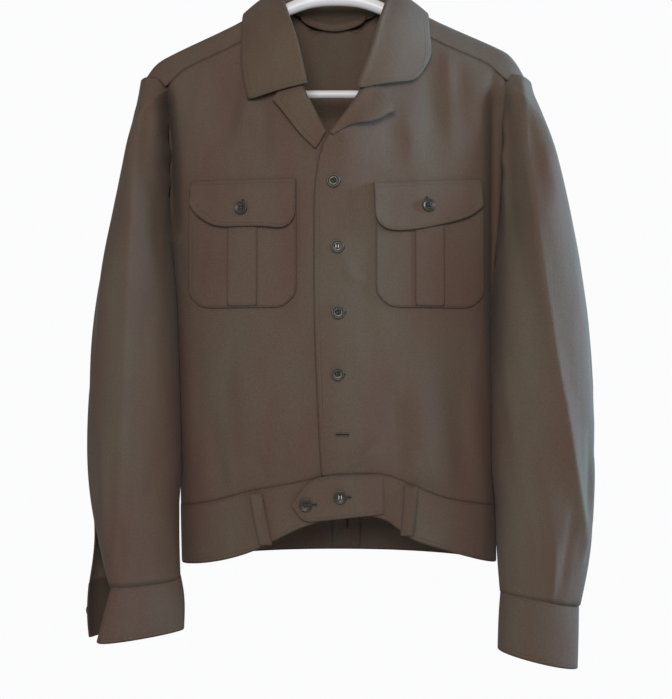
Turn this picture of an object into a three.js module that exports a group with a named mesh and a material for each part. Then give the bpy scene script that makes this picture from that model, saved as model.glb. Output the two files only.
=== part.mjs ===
// A short military tunic on a hanger, in millimetres, +Z up. The front faces -Y.
// The origin is the inside top of the hanger's hook, where a rail carries it.
// Each piece of cloth is a thin closed wall with the form in which the sewn piece hangs.
import * as THREE from "three";

// Cloth and layers
const CLOTH = 1.6; // a front, back, sleeve or pocket wall
const BAND_CLOTH = 2.0; // the doubled cloth of waistband, cuffs and collar
const GAP = 0.5; // between one layer and the next
const SEAM = 0.4; // between two edges that are sewn together

// Shoulders, as the hanger holds them. Past its corner each drops steeply to the sleeve's head
const SHOULDER_TOP_Z = -58; // where both shoulder lines would meet at the centre
const LEFT_SHOULDER = { slope: 0.462, cornerX: 221, drop: 1.15 };
const RIGHT_SHOULDER = { slope: 0.428, cornerX: 216, drop: 1.45 };
const SHOULDER_ROUND = 13; // radius of the cloth over the hanger's arm
const SHOULDER_TIP_X = 237;
const SEAM_CORNER_X = 208.5; // the shoulder seam ends here, in front of the armhole
const NECK_RISE = 80; // how much fuller the cloth hangs at the neck
const NECK_SPREAD = 55;
const YOKE_FORWARD = 38; // the shoulder seam lies this far in front of the ridge
const YOKE_TONGUE = { more: 12, from: 182, to: 210 }; // and this much further at its outer end

// How far front and back hang out from the hanger's plane
const FRONT_HANG = { full: 75, within: 150, roundness: 2.4 };
const BACK_HANG = { full: 52, within: 110, roundness: 2.6 };
const SHOULDER_FADE = 150; // below the ridge, the side curve is complete from here

// Levels down the side of the garment, below the hook
const ARMPIT_Z = -395;
const ARMHOLE_LEVELS = [-205, -230, -258, -286, -314, -340, -362, -380, -391, ARMPIT_Z];
const SIDE_LEVELS = [-425, -463, -505, -550, -595, -632, -662, -686];
const SIDE_WAIST_Z = -706;
const SIDE_HEM_Z = -776;

// The body's outline, level by level: middle and half width, and how much of the half girth
// the armhole leaves in front and behind (1 is the side seam)
const BODY_OUTLINE = [
  { z: -100, middle: 0, half: 250, front: 0.628, back: 0.798 },
  { z: -190, middle: 0, half: 250, front: 0.628, back: 0.798 },
  { z: -205, middle: 0, half: 243, front: 0.649, back: 0.783 },
  { z: -230, middle: 0, half: 228, front: 0.718, back: 0.805 },
  { z: -258, middle: 0, half: 219, front: 0.775, back: 0.812 },
  { z: -286, middle: 0, half: 215, front: 0.8, back: 0.815 },
  { z: -340, middle: -0.5, half: 206.5, front: 0.865, back: 0.865 },
  { z: -380, middle: -1.3, half: 200, front: 0.925, back: 0.925 },
  { z: ARMPIT_Z, middle: -1.7, half: 197.5, front: 1, back: 1 },
  { z: -458, middle: -1.7, half: 194, front: 1, back: 1 },
  { z: -563, middle: -0.2, half: 193, front: 1, back: 1 },
  { z: SIDE_WAIST_Z, middle: 3, half: 193, front: 1, back: 1 },
  { z: SIDE_HEM_Z - 20, middle: 4, half: 192, front: 1, back: 1 },
];

// Hollows of the front beside the armholes, as a share of its depth: across, then down
const HOLLOWS = [
  { side: -1, from: 192, to: 207, top: -194, full: -220, end: -262, foot: -330, share: 0.6 },
  { side: 1, from: 176, to: 203, top: -194, full: -220, end: -350, foot: -430, share: 0.7 },
];

// How the blouse bags out above the waist seam and draws in below it
const BLOUSING = [
  { above: -90, share: 0.94 },
  { above: -2, share: 0.965 },
  { above: 26, share: 1.03 },
  { above: 85, share: 1.05 },
  { above: 230, share: 1 },
  { above: 600, share: 1 },
];

// Waist seam and hem of the front, which draws up at the buttons
const FRONT_WAIST = [
  { x: -195, seam: -706, hem: -776 },
  { x: -143, seam: -694, hem: -766 },
  { x: -101, seam: -681, hem: -753 },
  { x: -70, seam: -675, hem: -737 },
  { x: -33, seam: -668, hem: -719 },
  { x: 0, seam: -661, hem: -712 },
  { x: 52, seam: -660, hem: -708 },
  { x: 84, seam: -672, hem: -735 },
  { x: 125, seam: -689, hem: -750 },
  { x: 201, seam: -706, hem: -776 },
];
const BACK_WAIST_RISE = 6; // the back hem's lift at the centre

// Inner edges of the two fronts: neck, roll line, then the buttoned edge
const LEFT_FRONT_EDGE = [
  { z: -100, x: -93 },
  { z: -118, x: -83 },
  { z: -140, x: -69 },
  { z: -170, x: -57 },
  { z: -198, x: -45 },
  { z: -230, x: -27 },
  { z: -263, x: -7 },
  { z: -285, x: 6 },
  { z: -308, x: 16 },
  { z: -720, x: 16 },
];
const RIGHT_FRONT_EDGE = [
  { z: -100, x: 93 },
  { z: -118, x: 82 },
  { z: -140, x: 67 },
  { z: -170, x: 53 },
  { z: -205, x: 32 },
  { z: -235, x: 11 },
  { z: -263, x: -8 },
  { z: -282, x: -19.5 },
  { z: -302, x: -25.7 },
  { z: -458, x: -25.7 },
  { z: -551, x: -22.7 },
  { z: -625, x: -19.3 },
  { z: -720, x: -14 },
];

// Columns of the back along the shoulder line, closest at the neck. The fronts share the outer ones
const NECK_COLUMNS = [0, 27, 48, 64, 76, 82, 88];
const BACK_COLUMNS = [...NECK_COLUMNS, 105, 126, 148, 168, 188, 205, 214, 223, 230, SHOULDER_TIP_X];
const WIDEST = Math.asin(SHOULDER_TIP_X / BODY_OUTLINE[0].half);
const COLUMN_SHARES = BACK_COLUMNS.map((x) => Math.asin(x / BODY_OUTLINE[0].half) / WIDEST);
const BACK_NECK = [
  { x: 0, behind: 131 },
  { x: 25, behind: 118 },
  { x: 45, behind: 69 },
  { x: 62, behind: 35 },
  { x: 76, behind: 13 },
  { x: 82, behind: -3 },
  { x: 88, behind: -28 },
  { x: 92, behind: -YOKE_FORWARD },
  { x: 250, behind: -YOKE_FORWARD },
];

// Hanging folds: a line from top to bottom, how wide, and how deep (a ridge is positive)
const FRONT_FOLDS = [
  { topX: -122, topZ: -165, endX: -143, endZ: -275, width: 15, depth: -4.5 },
  { topX: -88, topZ: -225, endX: -80, endZ: -300, width: 15, depth: -4 },
  { topX: -150, topZ: -190, endX: -168, endZ: -290, width: 13, depth: 3 },
  { topX: -50, topZ: -462, endX: -46, endZ: -640, width: 18, depth: -3.5 },
  { topX: -62, topZ: -480, endX: -74, endZ: -650, width: 20, depth: 3.5 },
  { topX: -135, topZ: -490, endX: -120, endZ: -680, width: 30, depth: -4 },
  { topX: 128, topZ: -170, endX: 118, endZ: -285, width: 17, depth: -5 },
  { topX: 92, topZ: -200, endX: 84, endZ: -300, width: 16, depth: 3 },
  { topX: 72, topZ: -240, endX: 60, endZ: -310, width: 15, depth: -4 },
  { topX: 160, topZ: -180, endX: 165, endZ: -290, width: 13, depth: 3 },
  { topX: 42, topZ: -560, endX: 76, endZ: -665, width: 14, depth: -4.5 },
  { topX: 112, topZ: -500, endX: 120, endZ: -690, width: 26, depth: 4 },
  { topX: 150, topZ: -490, endX: 160, endZ: -690, width: 22, depth: -4 },
];
const BACK_FOLDS = [
  { topX: -120, topZ: -170, endX: -95, endZ: -420, width: 26, depth: -5 },
  { topX: 118, topZ: -170, endX: 100, endZ: -440, width: 26, depth: -5 },
  { topX: -60, topZ: -330, endX: -52, endZ: -690, width: 30, depth: 5 },
  { topX: 64, topZ: -360, endX: 58, endZ: -690, width: 28, depth: 5 },
  { topX: 4, topZ: -420, endX: 0, endZ: -690, width: 24, depth: -5 },
  { topX: -140, topZ: -470, endX: -128, endZ: -700, width: 24, depth: -4 },
  { topX: 146, topZ: -450, endX: 132, endZ: -700, width: 24, depth: -4 },
];
const FOLD_END = 45; // a fold fades out over this length

// Sleeves, as they hang. in is the edge next to the body, front and back give the two outer
// edges of the front and back halves, which part only at an open cuff slit
const LEFT_SLEEVE = [
  { z: -186, inX: -212, inY: 0, frontX: -238, frontY: 0, frontOut: 30, backX: -238, backY: 0, backOut: 26 },
  { z: -200, inX: -211, inY: 0, frontX: -240.3, frontY: 0, frontOut: 42, backX: -240.3, backY: 0, backOut: 36 },
  { z: -236, inX: -210, inY: -2, frontX: -245, frontY: 0, frontOut: 56, backX: -245, backY: 0, backOut: 48 },
  { z: -295, inX: -207, inY: -4, frontX: -257, frontY: -4, frontOut: 66, backX: -257, backY: -4, backOut: 58 },
  { z: -353, inX: -205, inY: -6, frontX: -270, frontY: -8, frontOut: 70, backX: -270, backY: -8, backOut: 60 },
  { z: -412, inX: -201.6, inY: -16, frontX: -282, frontY: -14, frontOut: 68, backX: -282, backY: -14, backOut: 58 },
  { z: -470, inX: -198.6, inY: -20, frontX: -291, frontY: -20, frontOut: 62, backX: -291, backY: -20, backOut: 56 },
  { z: -540, inX: -195.6, inY: -23, frontX: -296, frontY: -26, frontOut: 56, backX: -296, backY: -26, backOut: 52 },
  { z: -620, inX: -193, inY: -25, frontX: -296, frontY: -32, frontOut: 51, backX: -296, backY: -32, backOut: 48 },
  { z: -690, inX: -191.3, inY: -30, frontX: -294, frontY: -36, frontOut: 46, backX: -294, backY: -36, backOut: 44 },
  { z: -735, inX: -190.5, inY: -34, frontX: -286, frontY: -39, frontOut: 43, backX: -286, backY: -39, backOut: 42 },
  { z: -760, inX: -190, inY: -39, frontX: -282, frontY: -50, frontOut: 38, backX: -285, backY: -40, backOut: 40 },
  { z: -794, inX: -188, inY: -45, frontX: -260, frontY: -86, frontOut: 14, backX: -296, backY: -38, backOut: 34 },
];
const RIGHT_SLEEVE = [
  { z: -190, inX: 212, inY: 0, frontX: 237.5, frontY: 0, frontOut: 30, backX: 237.5, backY: 0, backOut: 26 },
  { z: -200, inX: 210, inY: 0, frontX: 240, frontY: 0, frontOut: 40, backX: 240, backY: 0, backOut: 36 },
  { z: -214, inX: 208, inY: 0, frontX: 245.5, frontY: 0, frontOut: 48, backX: 245.5, backY: 0, backOut: 42 },
  { z: -236, inX: 206, inY: -2, frontX: 252.5, frontY: 2, frontOut: 56, backX: 252.5, backY: 2, backOut: 48 },
  { z: -295, inX: 202, inY: -4, frontX: 269, frontY: 2, frontOut: 66, backX: 269, backY: 2, backOut: 58 },
  { z: -353, inX: 200.5, inY: -7, frontX: 283, frontY: -2, frontOut: 70, backX: 283, backY: -2, backOut: 60 },
  { z: -412, inX: 198.4, inY: -16, frontX: 295, frontY: -8, frontOut: 68, backX: 295, backY: -8, backOut: 58 },
  { z: -470, inX: 195.3, inY: -22, frontX: 303.5, frontY: -14, frontOut: 63, backX: 303.5, backY: -14, backOut: 56 },
  { z: -540, inX: 194.3, inY: -27, frontX: 308.5, frontY: -20, frontOut: 56, backX: 308.5, backY: -20, backOut: 54 },
  { z: -610, inX: 193.6, inY: -33, frontX: 310, frontY: -24, frontOut: 52, backX: 310, backY: -24, backOut: 50 },
  { z: -675, inX: 193.6, inY: -38, frontX: 304, frontY: -28, frontOut: 47, backX: 304, backY: -28, backOut: 47 },
  { z: -718, inX: 194.4, inY: -42, frontX: 300, frontY: -30, frontOut: 44, backX: 300, backY: -30, backOut: 45 },
  { z: -764, inX: 195, inY: -47, frontX: 303, frontY: -34, frontOut: 40, backX: 303, backY: -34, backOut: 42 },
  { z: -812, inX: 198, inY: -52, frontX: 287, frontY: -47, frontOut: 30, backX: 287, backY: -47, backOut: 30 },
];
const SLEEVE_ROUNDNESS = 0.86; // below 1 the section is squarer than an ellipse
const SLEEVE_HEAD = { armpit: 55, middle: 75, tip: 26 }; // the sleeve has its own form this far down
const SLEEVE_STEPS = 15;
const HEAD_STAND = { out: 0.14, front: 30, back: 14, within: 12 }; // how the head leaves its seam
const SLEEVE_TUCK = 11; // the back half bellies in behind the body this far

// The pressed crease down each sleeve: where on the front half (0 inner, 1 outer edge)
const LEFT_CREASE = [
  { z: -230, at: 0.62 },
  { z: -430, at: 0.52 },
  { z: -650, at: 0.58 },
  { z: -760, at: 0.72 },
];
const RIGHT_CREASE = [
  { z: -190, at: 0.62 },
  { z: -430, at: 0.6 },
  { z: -580, at: 0.68 },
  { z: -700, at: 0.88 },
];
const CREASE = { height: 4.5, width: 0.13, fade: 60 };

// Cuffs, top and bottom. The left hangs unbuttoned, the right is closed
const LEFT_CUFF = [
  { z: 0, inX: -188, inY: -45, frontX: -260, frontY: -86, frontOut: 14, backX: -296, backY: -38, backOut: 34 },
  { z: -30, inX: -182, inY: -50, frontX: -268, frontY: -92, frontOut: 14, backX: -298, backY: -40, backOut: 32 },
  { z: -60, inX: -183, inY: -52, frontX: -276, frontY: -93, frontOut: 15, backX: -295, backY: -42, backOut: 30 },
];
const RIGHT_CUFF = [
  { z: 0, inX: 198, inY: -52, frontX: 286, frontY: -47, frontOut: 30, backX: 286, backY: -47, backOut: 30 },
  { z: -34, inX: 195, inY: -54, frontX: 285, frontY: -50, frontOut: 31, backX: 285, backY: -50, backOut: 31 },
  { z: -68, inX: 194, inY: -55, frontX: 283.5, frontY: -52, frontOut: 32, backX: 283.5, backY: -52, backOut: 32 },
];
// Each cuff seam: its level at the inner edge, and how far it drops at the outer edge
const LEFT_CUFF_SEAM = { level: -786.5, frontDrop: 4.5, backDrop: 10, hemDrop: 4 };
const RIGHT_CUFF_SEAM = { level: -802, frontDrop: 15, backDrop: 15, hemDrop: 7 };
const CUFF_LAP = 0.75; // how far round a closed cuff its front end laps, in radians
const CUFF_BUTTON_DROP = 32;

// Collar: neck seam, roll and outer edge, station by station round the neck
const COLLAR = [
  { neckX: -40, neckZ: -202, rollX: -37, rollZ: -201.5, rollLift: 8, edgeX: -105, edgeZ: -218, edgeLift: 7 },
  { neckX: -61, neckZ: -157, rollX: -47.5, rollZ: -152, rollLift: 15, edgeX: -113.5, edgeZ: -172, edgeLift: 5 },
  { neckX: -75, neckZ: -123, rollX: -58, rollZ: -118, rollLift: 17, edgeX: -114, edgeZ: -137, edgeLift: 5 },
  { neckX: -76, neckZ: -82, rollX: -70, rollY: -2, rollZ: -74, edgeX: -113, edgeY: -2, edgeZ: -99.5 },
  { neckX: -64, neckZ: -87, rollX: -62, rollY: 19, rollZ: -70, edgeX: -99, edgeY: 23, edgeZ: -112 },
  { neckX: -45, neckZ: -98, rollX: -42, rollY: 34, rollZ: -69, edgeX: -60, edgeZ: -129, edgeLift: 5 },
  { neckX: 0, neckZ: -101, rollX: 0, rollY: 46, rollZ: -72, edgeX: 0, edgeZ: -137, edgeLift: 5 },
  { neckX: 45, neckZ: -98, rollX: 42, rollY: 34, rollZ: -69, edgeX: 60, edgeZ: -129, edgeLift: 5 },
  { neckX: 64, neckZ: -87, rollX: 61, rollY: 19, rollZ: -70, edgeX: 99, edgeY: 23, edgeZ: -112 },
  { neckX: 76, neckZ: -82, rollX: 68, rollY: -2, rollZ: -74, edgeX: 112, edgeY: -2, edgeZ: -99 },
  { neckX: 74, neckZ: -121, rollX: 55.5, rollZ: -118, rollLift: 17, edgeX: 113, edgeZ: -132, edgeLift: 6 },
  { neckX: 58, neckZ: -157, rollX: 43, rollZ: -163, rollLift: 15, edgeX: 113.5, edgeZ: -163, edgeLift: 7 },
  { neckX: 30, neckZ: -205, rollX: 27, rollZ: -206.5, rollLift: 8, edgeX: 95, edgeZ: -194, edgeLift: 10 },
];
const COLLAR_STEPS = 32;
const NECK_INSET = 1.5; // the stand rises just inside the edge of the back neck
const COLLAR_FOLD = 2.6; // half the width of the fold over the roll line
const COLLAR_CROWN = 4; // how far the fall arches out between roll and edge

// Lapels: roll line and outer edge from top to bottom, and the notched top, in x and z
const LEFT_LAPEL = {
  roll: [[-40, -203], [-26, -229], [-11, -259.5]],
  edge: [[-73, -219.5], [-58, -238], [-42, -260], [-23.5, -280]],
  top: [[-40, -203], [-52, -205], [-62, -208], [-73, -219.5]],
  foot: [[-11, -259.5], [-23.5, -280]],
  curl: 2,
};
const RIGHT_LAPEL = {
  roll: [[30, -206], [12, -234], [-6.5, -262]],
  edge: [[63.5, -232.5], [54, -242], [42, -249], [28, -251], [13, -253.5], [-3, -264]],
  top: [[30, -206], [40, -208], [49.5, -208], [57, -220], [63.5, -232.5]],
  foot: [[-6.5, -262], [-3, -264]],
  curl: 9,
};
const LAPEL_ROLL = 4; // radius of the soft fold at the roll line

// Breast pockets: outline of bag and flap in x and z, pleat, and button
const POCKET_ROUND = 16;
const LEFT_POCKET = {
  left: -175, right: -46, top: -324, foot: -466, pleatLeft: -127, pleatRight: -91.5,
  flapTop: [[-172, -313], [-109, -313.3], [-46, -313.5]],
  flapFoot: [
    [-171, -342], [-163, -354], [-140, -369], [-109, -370.5],
    [-84, -371], [-64, -373.5], [-53, -370], [-46.5, -358],
  ],
  button: [-109.8, -349.2], buttonRise: 1.4,
};
const RIGHT_POCKET = {
  left: 46, right: 176, top: -326, foot: -466, pleatLeft: 92, pleatRight: 126.5,
  flapTop: [[43, -319.5], [107, -315], [172, -310]],
  flapFoot: [
    [44.5, -361], [51, -372], [62, -376], [88, -375],
    [112, -370], [136, -364], [157, -356], [172, -343],
  ],
  button: [107.2, -345.8], buttonRise: 0.7,
};

// Waistband and its fittings
const TAB = { tipX: -52, tipZ: -697, rightX: 55, shoulderX: -30, top: -662, foot: -711 };
const FRONT_LOOPS = [
  { topX: -93, topZ: -683, footX: -81, footZ: -744, width: 15 },
  { topX: 86.5, topZ: -674, footX: 82, footZ: -733, width: 15 },
];
const BACK_LOOPS = [
  { topX: -88, topZ: -702, footX: -88, footZ: -770, width: 15 },
  { topX: 88, topZ: -702, footX: 88, footZ: -770, width: 15 },
];
const TROUSER_TAB = { left: -5, right: 31, top: -694, foot: -769 };
const HANG_LOOP = { left: -47, right: 40, topZ: -90, drop: 11, width: 10 };

// Buttons: front edge, waistband, flaps and cuffs
const BUTTON = { radius: 8.2, thick: 2.4, sides: 18 };
const FRONT_BUTTONS = [
  { name: "button_front_1", x: -2.9, z: -318 },
  { name: "button_front_2", x: 1.2, z: -395 },
  { name: "button_front_3", x: 2.3, z: -472 },
  { name: "button_front_4", x: 1.8, z: -543.5 },
];
const WAIST_BUTTONS = [
  { name: "button_waist", x: 4.7, z: -686.5 },
  { name: "button_tab_end", x: -35, z: -695.5 },
];

// Hanger: white plastic, all in the plane y = 0
const HANGER = {
  hookRadius: 23, wire: 3, hookSides: 8, stemTop: -54, neckTop: -73,
  tipX: 206, armWide: 7, barZ: -200, barHalf: 5.5, sides: 10, armSteps: 11,
};
const HANGER_ARM = [
  { x: 0, top: -73, foot: -91.5 },
  { x: 8, top: -73, foot: -91.5 },
  { x: 28, top: -75, foot: -93 },
  { x: 63, top: -89, foot: -105 },
  { x: 100, top: -108, foot: -122 },
];
const ARM_BELOW_CLOTH = 3.5; // past the table the arm follows the shoulder, this far below it
const ARM_TALL = 12.5;

// Colours and finish
const OLIVE = new THREE.MeshStandardMaterial({ color: 0x5a4c40, roughness: 0.92, metalness: 0 });
const OLIVE_FACING = new THREE.MeshStandardMaterial({ color: 0x62574a, roughness: 0.9, metalness: 0 });
const BUTTON_PLASTIC = new THREE.MeshStandardMaterial({ color: 0x4a453c, roughness: 0.4, metalness: 0 });
const WHITE_PLASTIC = new THREE.MeshStandardMaterial({ color: 0xdde0e6, roughness: 0.35, metalness: 0 });

const V3 = (x, y, z) => new THREE.Vector3(x, y, z);
const { clamp, lerp, smoothstep } = THREE.MathUtils;
const even = (count) => Array.from({ length: count + 1 }, (_, i) => i / count);

// A smooth value from a table with an increasing or decreasing key column
function track(rows, key, column) {
  const points = [...rows].sort((a, b) => a[key] - b[key]);
  const slope = (i) => (points[i + 1][column] - points[i][column]) / (points[i + 1][key] - points[i][key]);
  const tangent = points.map((_, i) => {
    if (i === 0) return slope(0);
    if (i === points.length - 1) return slope(i - 1);
    const before = slope(i - 1);
    const after = slope(i);
    return before * after <= 0 ? 0 : (2 * before * after) / (before + after);
  });
  return (at) => {
    const k = clamp(at, points[0][key], points[points.length - 1][key]);
    let i = points.findIndex((p) => p[key] >= k);
    i = clamp(i - 1, 0, points.length - 2);
    const step = points[i + 1][key] - points[i][key];
    const t = (k - points[i][key]) / step;
    const t2 = t * t;
    const t3 = t2 * t;
    return (
      (2 * t3 - 3 * t2 + 1) * points[i][column] +
      (t3 - 2 * t2 + t) * step * tangent[i] +
      (3 * t2 - 2 * t3) * points[i + 1][column] +
      (t3 - t2) * step * tangent[i + 1]
    );
  };
}

// A smooth line through a few points in x and z, at t from 0 to 1 by length
function line(points) {
  const curve = new THREE.CatmullRomCurve3(points.map(([x, z]) => V3(x, 0, z)), false, "centripetal");
  return (t) => curve.getPointAt(clamp(t, 0, 1));
}

// The torso: shoulder ridge, and how far front and back hang from the hanger's plane
const middle = track(BODY_OUTLINE, "z", "middle");
const halfWidth = track(BODY_OUTLINE, "z", "half");
const frontShare = track(BODY_OUTLINE, "z", "front");
const backShare = track(BODY_OUTLINE, "z", "back");
const blousing = track(BLOUSING, "above", "share");
const frontSeamZ = track(FRONT_WAIST, "x", "seam");
const frontHemZ = track(FRONT_WAIST, "x", "hem");
const backLift = (x) => BACK_WAIST_RISE * (1 - clamp((x / 195) ** 2, 0, 1));
const backSeamZ = (x) => SIDE_WAIST_Z + backLift(x);
const backHemZ = (x) => SIDE_HEM_Z + backLift(x);

function ridgeZ(x) {
  const neck = NECK_RISE * Math.exp(-((x / NECK_SPREAD) ** 2));
  const shoulder = x < 0 ? LEFT_SHOULDER : RIGHT_SHOULDER;
  const over = Math.abs(x) - shoulder.cornerX;
  const past = (over + Math.hypot(over, 3)) / 2;
  return SHOULDER_TOP_Z - shoulder.slope * Math.abs(x) + neck - shoulder.drop * past;
}

const tongue = (x) => YOKE_TONGUE.more * smoothstep(Math.abs(x), YOKE_TONGUE.from, YOKE_TONGUE.to);

function hollowAt(x, z) {
  const share = (h) =>
    h.share *
    smoothstep(h.side * x, h.from, h.to) *
    smoothstep(-z, -h.top, -h.full) *
    (1 - smoothstep(-z, -h.end, -h.foot));
  return HOLLOWS.map(share).reduce((a, b) => a + b);
}

function foldAt(folds, x, z) {
  let sum = 0;
  for (const f of folds) {
    const along = (z - f.topZ) / (f.endZ - f.topZ);
    const centre = lerp(f.topX, f.endX, along);
    const length = Math.abs(f.endZ - f.topZ);
    const past = Math.max(-along, along - 1, 0) * length;
    const near = Math.min(along, 1 - along) * length;
    const fade = past > 0 ? 0 : smoothstep(near, 0, FOLD_END);
    sum += f.depth * fade * Math.exp(-(((x - centre) / f.width) ** 2));
  }
  return sum;
}

function hang(x, z, shape, folds, seamZ) {
  const below = ridgeZ(x) - z;
  const round = SHOULDER_ROUND;
  if (below <= 0) return 0;
  const rest = Math.max(below - round, 0);
  const depth =
    below < round
      ? Math.sqrt(round * round - (round - below) ** 2)
      : round + shape.full * (1 - Math.exp(-rest / shape.within));
  const side = clamp(Math.abs(x - middle(z)) / halfWidth(z), 0, 1);
  const lens = Math.sqrt(1 - side ** shape.roundness);
  const curve = lerp(1, lens, smoothstep(below, 0, SHOULDER_FADE));
  return (depth * blousing(z - seamZ) + foldAt(folds, x, z) * smoothstep(below, 0, 60)) * curve;
}

function frontPoint(x, z) {
  const depth = hang(x, z, FRONT_HANG, FRONT_FOLDS, frontSeamZ(x)) * (1 - hollowAt(x, z));
  return V3(x, -depth, z);
}

const backPoint = (x, z) => V3(x, hang(x, z, BACK_HANG, BACK_FOLDS, backSeamZ(x)), z);

// x on the girth: share is 0 at the middle and 1 at the side seam
const girthX = (share, z) => middle(z) + halfWidth(z) * Math.sin((share * Math.PI) / 2);
const girthShare = (x, z) => (Math.asin(clamp((x - middle(z)) / halfWidth(z), -1, 1)) * 2) / Math.PI;

// A closed wall of cloth. place(u, v) is its inner face; each point moves out by lift(u, v)
function wall(name, place, { us, vs, thick = CLOTH, lift = () => 0, facing = 1, material = OLIVE }) {
  const tiny = 1e-3;
  const normal = (u, v) => {
    const du = place(Math.min(u + tiny, 1), v).sub(place(Math.max(u - tiny, 0), v));
    const dv = place(u, Math.min(v + tiny, 1)).sub(place(u, Math.max(v - tiny, 0)));
    return du.cross(dv).normalize().multiplyScalar(facing);
  };
  const columns = us.length;
  const rows = vs.length;
  const position = [];
  for (const extra of [0, thick])
    for (const v of vs)
      for (const u of us) {
        const p = place(u, v).addScaledVector(normal(u, v), lift(u, v) + extra);
        position.push(p.x, p.y, p.z);
      }
  const at = (side, row, column) => side * rows * columns + row * columns + column;
  const index = [];
  const apart = (a, b) => Math.hypot(...[0, 1, 2].map((k) => position[3 * a + k] - position[3 * b + k]));
  const quad = (a, b, c, d) => {
    if (apart(a, c) <= apart(b, d)) index.push(a, b, c, a, c, d);
    else index.push(a, b, d, b, c, d);
  };
  for (let r = 0; r < rows - 1; r++)
    for (let c = 0; c < columns - 1; c++) {
      quad(at(1, r, c), at(1, r, c + 1), at(1, r + 1, c + 1), at(1, r + 1, c));
      quad(at(0, r, c), at(0, r + 1, c), at(0, r + 1, c + 1), at(0, r, c + 1));
    }
  for (let c = 0; c < columns - 1; c++) {
    quad(at(0, 0, c), at(0, 0, c + 1), at(1, 0, c + 1), at(1, 0, c));
    quad(at(0, rows - 1, c + 1), at(0, rows - 1, c), at(1, rows - 1, c), at(1, rows - 1, c + 1));
  }
  for (let r = 0; r < rows - 1; r++) {
    quad(at(0, r + 1, 0), at(0, r, 0), at(1, r, 0), at(1, r + 1, 0));
    quad(at(0, r, columns - 1), at(0, r + 1, columns - 1), at(1, r + 1, columns - 1), at(1, r, columns - 1));
  }
  if (facing < 0) index.reverse();
  const geometry = new THREE.BufferGeometry();
  geometry.setAttribute("position", new THREE.Float32BufferAttribute(position, 3));
  geometry.setIndex(index);
  geometry.computeVertexNormals();
  return named(name, geometry, material);
}

function named(name, geometry, material) {
  const mesh = new THREE.Mesh(geometry, material);
  mesh.name = name;
  return mesh;
}

// A four-sided patch of cloth lying on the front or back, filled from its four edge lines
function patch(top, foot, left, right, surface) {
  return (u, v) => {
    const a = top(u).multiplyScalar(1 - v).addScaledVector(foot(u), v);
    const b = left(v).multiplyScalar(1 - u).addScaledVector(right(v), u);
    const c = top(0).multiplyScalar((1 - u) * (1 - v)).addScaledVector(top(1), u * (1 - v));
    c.addScaledVector(foot(0), (1 - u) * v).addScaledVector(foot(1), u * v);
    const flat = a.add(b).sub(c);
    return surface(flat.x, flat.z);
  };
}

// How far the outer face of each front stands off the torso's own surface
const overlap = (x) => (CLOTH + GAP) * (1 - smoothstep(x, 22, 75));
const rollRise = (x, z) =>
  2.5 * (1 - smoothstep(x, 0, 40)) * smoothstep(z, -306, -276) * (1 - smoothstep(z, -245, -215));
const rightFrontLift = (x, z) => overlap(x) * (1 - smoothstep(z, -250, -215)) + rollRise(x, z);
const leftFace = () => CLOTH;
const rightFace = (x, z) => rightFrontLift(x, z) + CLOTH;

// Front panels: from the yoke seam to the waist seam
function frontPanel(name, side, edgeRows, liftAt) {
  const edgeX = track(edgeRows, "z", "x");
  const overRidge = SHOULDER_ROUND - (SHOULDER_ROUND * Math.PI) / 2;
  const top = (x) => ridgeZ(x) - overRidge - YOKE_FORWARD - 1.06 * tongue(x) - SEAM / 2;
  const tipTop = top(SEAM_CORNER_X);
  const levels = [tipTop, ...ARMHOLE_LEVELS, ...SIDE_LEVELS, SIDE_WAIST_Z];
  const vs = levels.map((z) => (z - tipTop) / (SIDE_WAIST_Z - tipTop));
  const place = (u, v) => {
    let x = side * SHOULDER_TIP_X * u;
    let z = 0;
    for (let i = 0; i < 6; i++) {
      const from = top(x);
      z = lerp(from, frontSeamZ(x) + SEAM / 2, v);
      const inner = girthShare(edgeX(z), z);
      const outer = side * (frontShare(z) - 0.0016);
      x = girthX(lerp(inner, outer, u), z);
    }
    return frontPoint(x, z);
  };
  const lift = (u, v) => {
    const p = place(u, v);
    return liftAt(p.x, p.z);
  };
  const neckCorner = girthShare(Math.abs(place(0, 0).x), tipTop);
  const armholeCorner = girthShare(Math.abs(place(1, 0).x), tipTop);
  const atSeam = (share) => (share * armholeCorner - neckCorner) / (armholeCorner - neckCorner);
  const shared = COLUMN_SHARES.map(atSeam).filter((u) => u > 0.08);
  const between = [0, ...shared].slice(0, 6).map((u, i) => (u + shared[i]) / 2);
  const us = [0, ...shared, ...between].sort((a, b) => a - b);
  return { mesh: wall(name, place, { us, vs, lift, facing: -side }), place, us, vs };
}

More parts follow.
